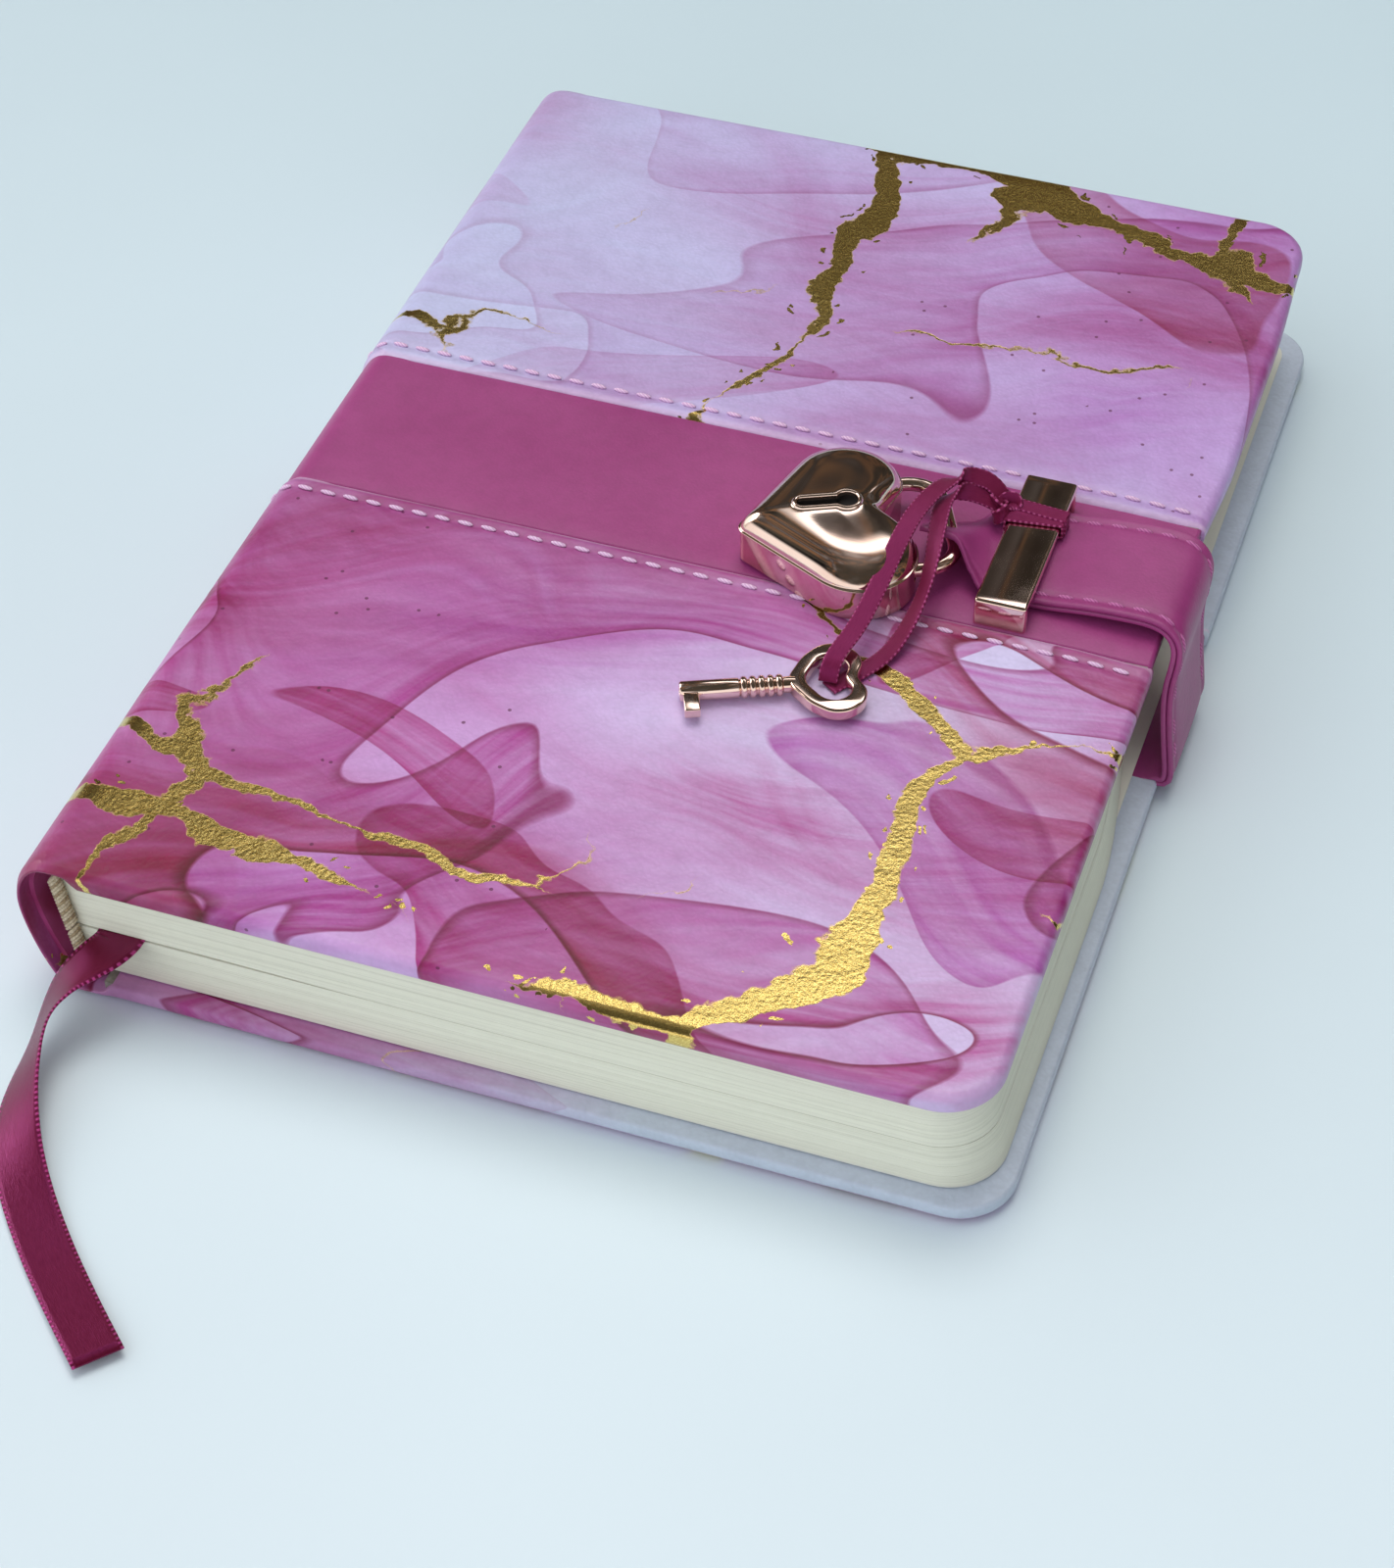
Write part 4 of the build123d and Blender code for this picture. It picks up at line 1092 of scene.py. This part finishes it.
def tongue_at(x):
    """How far the tongue is rolled, in degrees, and how wide it is, at a place along the cover."""
    if x >= TONGUE[0][0] * MM:
        return 0.0, 1.0
    for (x0, roll0, width0), (x1, roll1, width1) in zip(TONGUE, TONGUE[1:]):
        if x >= x1 * MM:
            share = (x - x0 * MM) / (x1 * MM - x0 * MM)
            return roll0 + (roll1 - roll0) * share, (width0 + (width1 - width0) * share) * MM / STRAP_WIDTH
    return TONGUE[-1][1], TONGUE[-1][2] * MM / STRAP_WIDTH


def strap_point(along, across, lift):
    """A point of the flat strip laid on the strap's line. It is thin where it lies in the back cover."""
    here = on_line(strap_line, strap_lengths, along)
    ahead = on_line(strap_line, strap_lengths, along + AHEAD)
    behind = on_line(strap_line, strap_lengths, max(along - AHEAD, 0.0))
    travel = Vector((ahead.x - behind.x, 0, ahead.z - behind.z)).normalized()
    roll, width = tongue_at(here.x)
    side = Vector((0, math.cos(math.radians(roll)), -math.sin(math.radians(roll))))
    out = side.cross(travel).normalized()
    full = smoothstep(71.4 * MM, 73.4 * MM, here.x) if here.z < 5 * MM else 1.0
    return here + side * (across * width) + out * (lift * (0.16 + 0.84 * full))


print(f"strap {strap_lengths[-1] * 1000:.0f} mm long")

# %% Strap strips
STRAP_STITCH = STRAP_WIDTH / 2 - 1.9 * MM
STRAP_STEP = 0.8 * MM
STRAP_ROUND = 0.38 * MM
STRAP_SWELL = 0.1 * MM
GROOVE_DEPTH = 0.26 * MM
GROOVE_WIDTH = 0.7 * MM
LAYER_GAP = 0.03 * MM
STRAP_SPLIT = next(d for p, d in zip(strap_line, strap_lengths) if p.z > 15.5 * MM)
LINING_END = next(d for p, d in zip(strap_line, strap_lengths) if p.x < 41.0 * MM and p.z > 20 * MM)


def strap_strip(low, high, end):
    bm = sheet(0.0, end, -STRAP_WIDTH / 2, STRAP_WIDTH / 2, high)
    thicken(bm, high - low)
    margins = [e for e in bm.edges if abs(e.verts[0].co.z - e.verts[1].co.z) < 1e-7
               and abs(e.verts[0].co.y - e.verts[1].co.y) < 1e-7]
    round_edges(bm, margins, STRAP_ROUND, 4)
    cut_along(bm, 0, spread(STRAP_STEP, end - STRAP_STEP, STRAP_STEP))
    cut_along(bm, 1, [side * (STRAP_STITCH + step * 0.4 * MM) for side in (-1, 1) for step in range(-3, 4)]
              + spread(-6 * MM, 6 * MM, 3 * MM))
    return bm


def lay_on_strap(bm, half, name, material):
    part = half_of(bm, STRAP_SPLIT, half == "low")
    for vertex in part.verts:
        vertex.co = strap_point(*vertex.co)
    piece = piece_from(part, name, material)
    if half == "low":
        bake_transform(piece)
    else:
        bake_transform(piece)
    return piece


outer = strap_strip(LAYER_GAP, LAYER, strap_lengths[-1])
for vertex in outer.verts:
    if vertex.co.z > 0.6 * MM:
        from_row = (abs(vertex.co.y) - STRAP_STITCH) / GROOVE_WIDTH
        swell = STRAP_SWELL * math.cos(min(abs(vertex.co.y) / (STRAP_WIDTH / 2), 1.0) * math.pi / 2)
        vertex.co.z += swell - GROOVE_DEPTH * math.exp(-from_row * from_row)
lining = strap_strip(-LAYER, -LAYER_GAP, LINING_END)
for half, node in (("low", "riser"), ("high", "tongue")):
    for layer, strip in (("outer", outer), ("lining", lining)):
        piece = lay_on_strap(strip, half, f"strap_{half}_{layer}", strap_leather)
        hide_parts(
            f"strap_{node}_{layer}", *(["strap_tab"] if (half, layer) == ("low", "lining") else []))
        print(f"{piece.name}: {len(piece.data.polygons)} faces")
outer.free()
lining.free()

# %% Strap stitches
SEAM_START = 14.0 * MM
SEAM_END = LINING_END + 1.0 * MM
SEAM_LIFT = LAYER - 0.2 * MM
seam = bmesh.new()
for side in (-1, 1):
    sew(seam, SEAM_START, STRAP_SPLIT, side * STRAP_STITCH, SEAM_LIFT)
    sew(seam, STRAP_SPLIT + ROW_GAP, SEAM_END, side * STRAP_STITCH, SEAM_LIFT)
for half in ("low", "high"):
    piece = lay_on_strap(seam, half, f"strap_{half}_stitching", strap_thread)
    print(f"{piece.name}: {len(piece.data.polygons)} faces")
seam.free()

# %% [markdown]
# ## Rose-gold metal
#
# The padlock, the keeper and the key are die-cast metal with a thin, bright rose-gold plating. A mirror
# shows mostly its surroundings, so the metal itself needs little: a warm pale tint, a polish that is a bit
# duller where fingers have been, and faint hairlines from wiping. All metal shares the polish, as a node
# group.

# %% Metal finishes
def polish_group():
    group = Group("handled_polish", "Dull", 0.12, ("Roughness", "Height"))
    place = group.place()
    smudge = group.noise(place, 160.0, 4.0)
    hairline = group.noise(group.vectors("MULTIPLY", place, (260.0, 4200.0, 2600.0)), 1.0, 2.0)
    group.give(Roughness=group.given * smudge.remap(0.35, 0.75, 0.5, 1.5), Height=hairline + smudge * 2.0)
    return group.tree


POLISH = polish_group()


def metal_finish(name, light, deep, dull):
    finish = Finish(name, Metallic=1.0)
    polish = finish.add("Group", {"Dull": dull}, node_tree=POLISH)
    tint = finish.noise(finish.place(), 70.0, 2.0)
    finish.set(Base_Color=finish.mix(tint.remap(0.35, 0.65), deep, light), Roughness=polish["Roughness"])
    finish.bump(polish["Height"], 0.00002, 0.06)
    return finish.material


def painted_shade_well():
    # Painted shade: the inside of the keyhole is nearly black, where only shade falls.
    finish = Finish("keyhole_painted_shade", Roughness=0.8)
    shade_mottle = finish.noise(finish.place(), 900.0, 2.0)
    finish.set(Base_Color=finish.mix(shade_mottle, card(14, 10, 10), card(34, 26, 24)))
    return finish.material


rose_gold = metal_finish("rose_gold", card(246, 222, 208), card(232, 200, 184), 0.09)
steel = metal_finish("plain_steel", card(196, 196, 198), card(160, 160, 166), 0.3)
keyhole_shade = painted_shade_well()
print("metal finishes made")

# %% [markdown]
# ## Keeper
#
# The keeper is a metal bridge over the strap, with a foot at each end. It is one block whose two ends are
# drawn down into feet: the bar is cut across near both ends, the under faces of the end pieces are
# extruded, and a bevel rounds every edge, wide enough to catch the light.

# %% Build the keeper
FOOT = 1.8 * MM
FOOT_SUNK = 0.4 * MM
FOOT_AREA = 20 * MM * MM
KEEPER_ROUND = 0.55 * MM
foot_drop = keeper_high.z - BAR - (belt_high.z - FOOT_SUNK)
middle = (keeper_low + keeper_high) / 2
bm = bmesh.new()
bmesh.ops.create_cube(bm, size=1.0)
bmesh.ops.scale(bm, verts=bm.verts, vec=(keeper_high.x - keeper_low.x, keeper_high.y - keeper_low.y, BAR))
bmesh.ops.translate(bm, verts=bm.verts, vec=(middle.x, middle.y, keeper_high.z - BAR / 2))
cut_along(bm, 1, [keeper_low.y + FOOT, keeper_high.y - FOOT])
feet = [f for f in bm.faces if f.normal.z < -0.9 and f.calc_area() < FOOT_AREA]
for face in bmesh.ops.extrude_discrete_faces(bm, faces=feet)["faces"]:
    bmesh.ops.translate(bm, verts=face.verts, vec=(0, 0, -foot_drop))
bmesh.ops.remove_doubles(bm, verts=bm.verts, dist=1e-6)
bmesh.ops.recalc_face_normals(bm, faces=bm.faces)
corners = [e for e in bm.edges if e.is_manifold and e.calc_face_angle() > 0.5]
bmesh.ops.bevel(bm, geom=corners, offset=KEEPER_ROUND, segments=4, profile=0.5, affect="EDGES", material=-1,
                clamp_overlap=True)
keeper = piece_from(bm, "keeper_polished", rose_gold)
sharp_where_steep(keeper, 50)
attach(keeper, "front_cover")
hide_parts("keeper")
print(f"keeper: {len(keeper.data.polygons)} faces")

# %% [markdown]
# ## Heart padlock
#
# The body is a shallow cup closed by a domed lid. The lid is blown up from the heart's outline: the outline
# is laid as an edge loop again and again, each loop drawn in and lifted, and the last loop is bridged to
# the keyhole's lip. Smoothing rounds the crease that runs in from the cleft, as on a pressed sheet. The
# heart has its own millimetre frame: U from the tip to the lobes, V across.

# %% Heart outline
LOCK = Matrix.Translation(Vector((18.6, -2.4, 26.22)) * MM) @ Matrix.Rotation(math.radians(25.0), 4, "Z")
LOBE_R = 9.0
LOBE_V = 8.2
TIP_U = -18.5
CLEFT_U = 4.2
NOSE_R = 2.2
SHOULDER = math.radians(-12.0)
lean = math.atan2(LOBE_V, -TIP_U) + math.asin(LOBE_R / math.hypot(TIP_U, LOBE_V))


def arc(centre, radius, start, end, count):
    angles = [start + (end - start) * i / count for i in range(count + 1)]
    return [Vector((centre[0] + radius * math.cos(a), centre[1] + radius * math.sin(a), 0)) for a in angles]


def mirrored(half):
    """A closed outline from its half on one side."""
    return half + [Vector((p.x, -p.y, 0)) for p in reversed(half[1:-1])]


def heart_outline():
    nose = arc((TIP_U + NOSE_R / math.sin(lean), 0), NOSE_R, math.pi, lean + math.pi / 2, 4)
    lobe = arc((0, LOBE_V), LOBE_R, lean + math.pi / 2, SHOULDER, 26)
    side = [nose[-1].lerp(lobe[0], i / 7) for i in range(1, 7)]
    notch = [lobe[-1].lerp(Vector((CLEFT_U, 0, 0)), i / 5) for i in range(1, 6)]
    return mirrored(nose + side + lobe + notch)


heart = heart_outline()
print(f"heart outline: {len(heart)} points")

# %% Keyhole outline
KEYHOLE_R = 1.7
KEYHOLE_U = -1.0
SLOT_R = 0.95
SLOT_END_U = -8.0


def keyhole_outline(grow):
    """A round hole with a slot, in as many even steps as the heart has."""
    big, small = KEYHOLE_R + grow, SLOT_R + grow
    meet = math.pi - math.asin(small / big)
    slot = arc((SLOT_END_U, 0), small, math.pi, math.pi / 2, 8)
    loop = mirrored(slot + arc((KEYHOLE_U, 0), big, meet, 0.0, 18))
    loop.append(loop[0])
    total = distances(loop)
    return [on_line(loop, total, total[-1] * i / len(heart)) for i in range(len(heart))]


# %% Domed lid
LID_BASE = 5.62
LID_RISE = 4.3
HEART_MIDDLE_U = -2.5
RIM = ((1.012, 0.0), (1.02, 0.08), (1.02, 0.22), (1.008, 0.34), (0.992, 0.38))
swell_angles = [math.radians(degrees) for degrees in (6, 14, 23, 32, 41, 50, 59, 68, 77)]
DOME = RIM + tuple((0.5 + 0.49 * math.cos(a), 0.38 + (LID_RISE - 0.45) * math.sin(a)) for a in swell_angles)
LIP = ((1.05, 0.0), (0.8, 0.1), (0.72, 0.4), (0.5, 0.6), (0.22, 0.56), (0.02, 0.32), (0.0, -0.1), (0.0, -1.6))


def ring(bm, points, lift):
    verts = [bm.verts.new(p + Vector((0, 0, lift))) for p in points]
    return [bm.edges.new((a, b)) for a, b in zip(verts, verts[1:] + verts[:1])]


def scaled_heart(scale):
    return [Vector((HEART_MIDDLE_U + (p.x - HEART_MIDDLE_U) * scale, p.y * scale, 0)) for p in heart]


bm = bmesh.new()
loops = [ring(bm, scaled_heart(scale), LID_BASE + lift) for scale, lift in DOME]
skin_verts = list({v for loop in loops[len(RIM) + 1:] for e in loop for v in e.verts})
loops += [ring(bm, keyhole_outline(grow), LID_BASE + LID_RISE + lift) for grow, lift in LIP]
for lower, upper in zip(loops, loops[1:]):
    bmesh.ops.bridge_loops(bm, edges=lower + upper)
for _ in range(5):
    bmesh.ops.smooth_vert(bm, verts=skin_verts, factor=0.5, use_axis_x=True, use_axis_y=True, use_axis_z=True)
# The floor and the lowest walls of the keyhole take the painted shade.
floor = bmesh.ops.contextual_create(bm, geom=loops[-1])["faces"]
floor += [f for e in loops[-1] for f in e.link_faces if f not in floor]
for face in floor:
    face.material_index = 1
bmesh.ops.recalc_face_normals(bm, faces=bm.faces)
bmesh.ops.transform(bm, verts=bm.verts, matrix=LOCK @ Matrix.Scale(MM, 4))
lid = piece_from(bm, "lock_lid", rose_gold, keyhole_shade)
round_off = lid.modifiers.new("round", "SUBSURF")
round_off.levels = round_off.render_levels = 2
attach(lid, "lock_body")
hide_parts("lock_dome")
print(f"lid: {len(lid.data.polygons)} faces before it is rounded")

# %% Polished copies
def polished_copy(node, width):
    """A copy of a solid with its flat faces joined again and a small round on every hard edge."""
    bm = bmesh.new()
    bm.from_mesh(frame["nodes"][node].data)
    bmesh.ops.remove_doubles(bm, verts=bm.verts, dist=2e-6)
    bmesh.ops.dissolve_limit(bm, verts=bm.verts, edges=bm.edges, angle_limit=math.radians(1.0))
    piece = piece_from(bm, node + "_polished", rose_gold)
    edge = piece.modifiers.new("edge", "BEVEL")
    edge.width = width
    edge.segments = 3
    edge.limit_method = "ANGLE"
    edge.angle_limit = math.radians(35)
    sharp_where_steep(piece, 40)
    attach(piece, frame["nodes"][node]["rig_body"])
    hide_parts(node)
    print(f"{piece.name}: {len(piece.data.polygons)} faces before its edges are rounded")


polished_copy("lock_cup", 0.12 * MM)
polished_copy("shackle", 0.1 * MM)

# %% [markdown]
# ## Key
#
# The key is cast in one: a hollow barrel with turned rings, a bit at its end and a heart-shaped bow. The
# barrel is a profile spun round its axis. The bow is a flat curve with a hole, which Blender can thicken
# and round by itself. The key too has its own millimetre frame, with U from the barrel's end to the bow.

# %% Barrel and bit
KEY = Matrix.Translation(Vector((4.3, -44.6, 28.02)) * MM) @ Matrix.Rotation(math.radians(24.0), 4, "Z")
BARREL_R = 1.55
RING_R = 1.7
GROOVE_R = 1.25
RING_SHAPE = (
    (-0.6, GROOVE_R), (-0.45, BARREL_R), (-0.18, RING_R), (0.18, RING_R), (0.45, BARREL_R), (0.6, GROOVE_R))
profile = [
    (5.0, 0.0), (5.0, 0.7), (0.15, 0.7), (0.0, 0.85), (0.0, 1.3), (0.25, BARREL_R), (8.9, BARREL_R),
    (9.1, 1.4)]
for i in range(5):
    profile += [(9.8 + 1.35 * i + u, radius) for u, radius in RING_SHAPE]
profile += [(16.6, 1.3), (17.6, 1.2), (18.0, 0.0)]
key_bm = bmesh.new()
verts = [key_bm.verts.new((u, 0.0, r)) for u, r in profile]
edges = [key_bm.edges.new(pair) for pair in zip(verts, verts[1:])]
bmesh.ops.spin(key_bm, geom=verts + edges, cent=(0, 0, 0), axis=(1, 0, 0), angle=math.tau, steps=32,
               use_merge=True)
bmesh.ops.remove_doubles(key_bm, verts=key_bm.verts, dist=1e-5)
bit = bmesh.ops.create_cube(key_bm, size=1.0)["verts"]
bmesh.ops.scale(key_bm, verts=bit, vec=(2.4, 4.4, 1.7))
bmesh.ops.translate(key_bm, verts=bit, vec=(1.6, -3.0, 0.0))
round_edges(key_bm, list({e for v in bit for e in v.link_edges}), 0.22, 3)
bmesh.ops.recalc_face_normals(key_bm, faces=key_bm.faces)
print(f"barrel and bit: {len(key_bm.faces)} faces")

# %% Bow
BOW_OUTSIDE = [(16.6, 0.0), (18.0, 3.3), (20.1, 6.0), (23.3, 7.7), (26.6, 6.6), (28.2, 3.6), (27.3, 0.0)]
BOW_HOLE = [(19.3, 0.0), (20.3, 2.5), (22.4, 4.7), (24.6, 4.5), (25.9, 2.7), (25.3, 0.0)]
bow = bpy.data.curves.new("bow", "CURVE")
bow.dimensions = "2D"
bow.fill_mode = "BOTH"
bow.resolution_u = 12
bow.extrude = 0.6
bow.bevel_depth = 0.5
bow.bevel_resolution = 4
bow.offset = -0.5
for half in (BOW_OUTSIDE, BOW_HOLE):
    loop = half + [(u, -v) for u, v in reversed(half[1:-1])]
    spline = bow.splines.new("BEZIER")
    spline.bezier_points.add(len(loop) - 1)
    for point, (u, v) in zip(spline.bezier_points, loop):
        point.co = (u, v, 0)
        point.handle_left_type = point.handle_right_type = "AUTO"
    spline.use_cyclic_u = True
holder = bpy.data.objects.new("bow", bow)
bow_mesh = bpy.data.meshes.new_from_object(holder)
key_bm.from_mesh(bow_mesh)
bpy.data.objects.remove(holder)
bpy.data.curves.remove(bow)
bpy.data.meshes.remove(bow_mesh)
bmesh.ops.remove_doubles(key_bm, verts=key_bm.verts, dist=1e-4)
bmesh.ops.transform(key_bm, verts=key_bm.verts, matrix=KEY @ Matrix.Scale(MM, 4))
key = piece_from(key_bm, "key_polished", rose_gold)
sharp_where_steep(key, 45)
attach(key, "key")
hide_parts("key")
print(f"key: {len(key.data.polygons)} faces")

# %% [markdown]
# ## Pages
#
# The pages are ivory book paper. Seen from the side, hundreds of leaves lie on each other, and the thin gap
# under each shows as a hair line of shade that fades in and out, painted into the colour. A noise that is
# squeezed hard along the height gives such lines at any distance. The layers that hardly show, such as the
# boards and the cloth, need only their fibres.

# %% Paper finish
def paper_finish(name, light, dark, gap_shade_share):
    finish = Finish(name, Roughness=0.82)
    place = finish.place()

    def leaves_at(sideways, upward):
        return finish.noise(finish.vectors("MULTIPLY", place, (sideways, sideways, upward)), 1.0, 1.0)

    # Painted shade: hair lines of shade in the gaps between the leaves, which also serve as a bump.
    leaf_gap_shade = leaves_at(14.0, 5200.0).remap(0.4, 0.62) * leaves_at(9.0, 1500.0).remap(0.4, 0.7, 0.3, 1.0)
    fibre = finish.noise(place, 700.0, 3.0)
    finish.set(Base_Color=finish.mix(leaf_gap_shade * gap_shade_share + fibre * 0.12, light, dark))
    finish.bump(leaf_gap_shade + fibre * 0.3, 0.00004, 0.5)
    return finish.material


page_paper = paper_finish("page_paper", card(242, 240, 219), card(194, 191, 168), 0.32)
end_paper = paper_finish("end_paper", card(236, 234, 220), card(206, 202, 184), 0.05)

# %% Fibres and cloth
def fibre_finish(name, light, dark, scale, detail=4.0, depth=0.00005, strength=0.5, **numbers):
    finish = Finish(name, **numbers)
    fibre = finish.noise(finish.place(), scale, detail)
    finish.set(Base_Color=finish.mix(fibre.remap(0.3, 0.7), dark, light))
    finish.bump(fibre, depth, strength)
    return finish.material


def turned_in_finish():
    finish = Finish("turned_in_print", Roughness=0.5)
    wash = finish.noise(finish.place(), 120.0, 2.0)
    finish.set(Base_Color=finish.mix(wash.remap(0.35, 0.65), card(150, 36, 88), card(196, 84, 146)))
    finish.bump(grain_on(finish, PRINT_PEBBLES)["Height"], 0.00006, 0.5)
    return finish.material


turned_in = turned_in_finish()
grey_board = fibre_finish("grey_board", card(168, 162, 150), card(128, 122, 112), 900.0, Roughness=0.85)
page_face = fibre_finish("page_face", card(241, 239, 223), card(231, 228, 210), 700.0, Roughness=0.85)
mull_cloth = fibre_finish("mull_cloth", card(226, 220, 200), card(186, 178, 156), 2200.0, Roughness=0.85)
finishes = {
    "paper": page_paper, "endpaper": end_paper, "board": grey_board, "plain_steel": steel,
    "rose_gold": rose_gold, "spine_cloth": turned_in, "end_band_cord": mull_cloth,
    "printed_leatherette": printed, "plain_leatherette": belt_leather, "thread": case_thread,
    "key_ribbon": key_satin, "bookmark_ribbon": bookmark_satin,
}
shown = {part["node"]: part["material_slot"] for part in frame["record"]["subparts"]}
for node, slot in shown.items():
    mesh = frame["nodes"][node].data
    mesh.materials.clear()
    mesh.materials.append(turned_in if node == "spine_liner" else finishes[slot])
print(f"{len(shown)} solids have a finish")

# %% [markdown]
# ### Settled sections
#
# The solids of the sewn sections have the right form, but paper gives way. Where the strap is drawn tight
# the leaves are pushed in at the fore edge, from there up to the head, and the upper sections sink onto the
# lower ones except over the bookmark. So each section starts as a copy of its solid, is cut into a net, and
# has its points moved. The painted shade of the gaps between the leaves belongs on the edges only, so the
# open page has a second material.

# %% Settle the sections
PUSHED_IN = 4.8 * MM
SUNK = 0.38 * MM
PUSH_FROM_Y, PUSH_FULL_Y = -42 * MM, 2 * MM
PUSH_FROM_X, PUSH_FULL_X = 30 * MM, 62 * MM
SINK_FROM_X, SINK_FULL_X = -50 * MM, -20 * MM


def settle(node, body, sinks=False):
    bm = bmesh.new()
    bm.from_mesh(frame["nodes"][node].data)
    bm.transform(frame["nodes"][node].matrix_world)
    bmesh.ops.remove_doubles(bm, verts=bm.verts, dist=1e-7)
    bmesh.ops.dissolve_limit(bm, angle_limit=math.radians(0.05), verts=bm.verts, edges=bm.edges)
    cut_along(bm, 1, spread(-95 * MM, 95 * MM, 5 * MM))
    cut_along(bm, 0, spread(SINK_FROM_X, SINK_FULL_X, 6 * MM) + spread(PUSH_FROM_X, PUSH_FULL_X, 8 * MM))
    floor = min(vertex.co.z for vertex in bm.verts)
    for vertex in bm.verts:
        x, y, z = vertex.co
        at_edge = smoothstep(PUSH_FROM_X, PUSH_FULL_X, x)
        vertex.co.x -= PUSHED_IN * smoothstep(PUSH_FROM_Y, PUSH_FULL_Y, y) * at_edge
        if sinks and z < floor + 0.2 * MM:
            vertex.co.z -= SUNK * smoothstep(SINK_FROM_X, SINK_FULL_X, x)
    piece = piece_from(bm, node + "_leaves", finishes[shown[node]], page_face)
    sharp_where_steep(piece, 40)
    for face in piece.data.polygons:
        lies_flat = abs(face.normal.z) > 0.9
        face.use_smooth = not lies_flat
        face.material_index = int(lies_flat)
    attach(piece, body)
    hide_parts(node)
    return len(piece.data.polygons)


lower_leaves = ["back_flyleaf"] + [f"page_section_{i}" for i in range(1, 5)]
upper_leaves = [f"page_section_{i}" for i in range(5, 10)] + ["front_flyleaf"]
faces = sum(settle(node, "book") for node in lower_leaves)
faces += sum(settle(node, "upper_pages", node == upper_leaves[0]) for node in upper_leaves)
print(f"{len(lower_leaves + upper_leaves)} sections settled, {faces} faces")

# %% [markdown]
# ## End bands
#
# A braided cord closes the block at the head and the tail of the spine. It is a core with threads wound
# over it in a slant. Each winding is a stretched ball leaned over, and the next one lies close beside it.
# Every third winding has the darker thread.

# %% Braid the end bands
BRAID_STEP = 0.62 * MM
BRAID_SLANT_DEG = -52
BRAID_HALF_WIDTH = 1.68 * MM
BRAID_HALF_THICKNESS = 0.4 * MM
BAND_WIDTH = 2.6 * MM
cord = {
    "scale": 2600.0, "detail": 3.0, "depth": 0.00008, "strength": 0.7, "Roughness": 0.7,
    "Sheen_Weight": 0.2}
pale_cord = fibre_finish("pale_cord", card(216, 200, 170), card(164, 144, 112), **cord)
dark_cord = fibre_finish("dark_cord", card(186, 162, 122), card(122, 98, 68), **cord)


def braid(node, body):
    low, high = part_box(node)
    height = high.z - low.z
    lean_x = (high.x - low.x - BAND_WIDTH) / height
    half_sizes = (BRAID_HALF_WIDTH, (high.y - low.y) * 0.62, BRAID_HALF_THICKNESS)
    turn = Matrix.Rotation(math.radians(BRAID_SLANT_DEG), 4, "Y") @ Matrix.Diagonal((*half_sizes, 1.0))
    bm = bmesh.new()
    count = int(height / BRAID_STEP) + 1
    for i in range(count):
        rise = (i + 0.5) * height / count
        middle = (high.x - BAND_WIDTH / 2 - lean_x * rise, (low.y + high.y) / 2, low.z + rise)
        shape = Matrix.Translation(middle) @ turn
        verts = bmesh.ops.create_icosphere(bm, subdivisions=2, radius=1.0, matrix=shape)["verts"]
        for face in {f for v in verts for f in v.link_faces}:
            face.material_index = i % 3 // 2
    piece = piece_from(bm, node + "_braid", pale_cord, dark_cord)
    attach(piece, body)
    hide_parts(node)


for end in ("tail", "head"):
    braid(f"{end}_band_low", "book")
    braid(f"{end}_band_high", "upper_pages")
print("end bands braided")
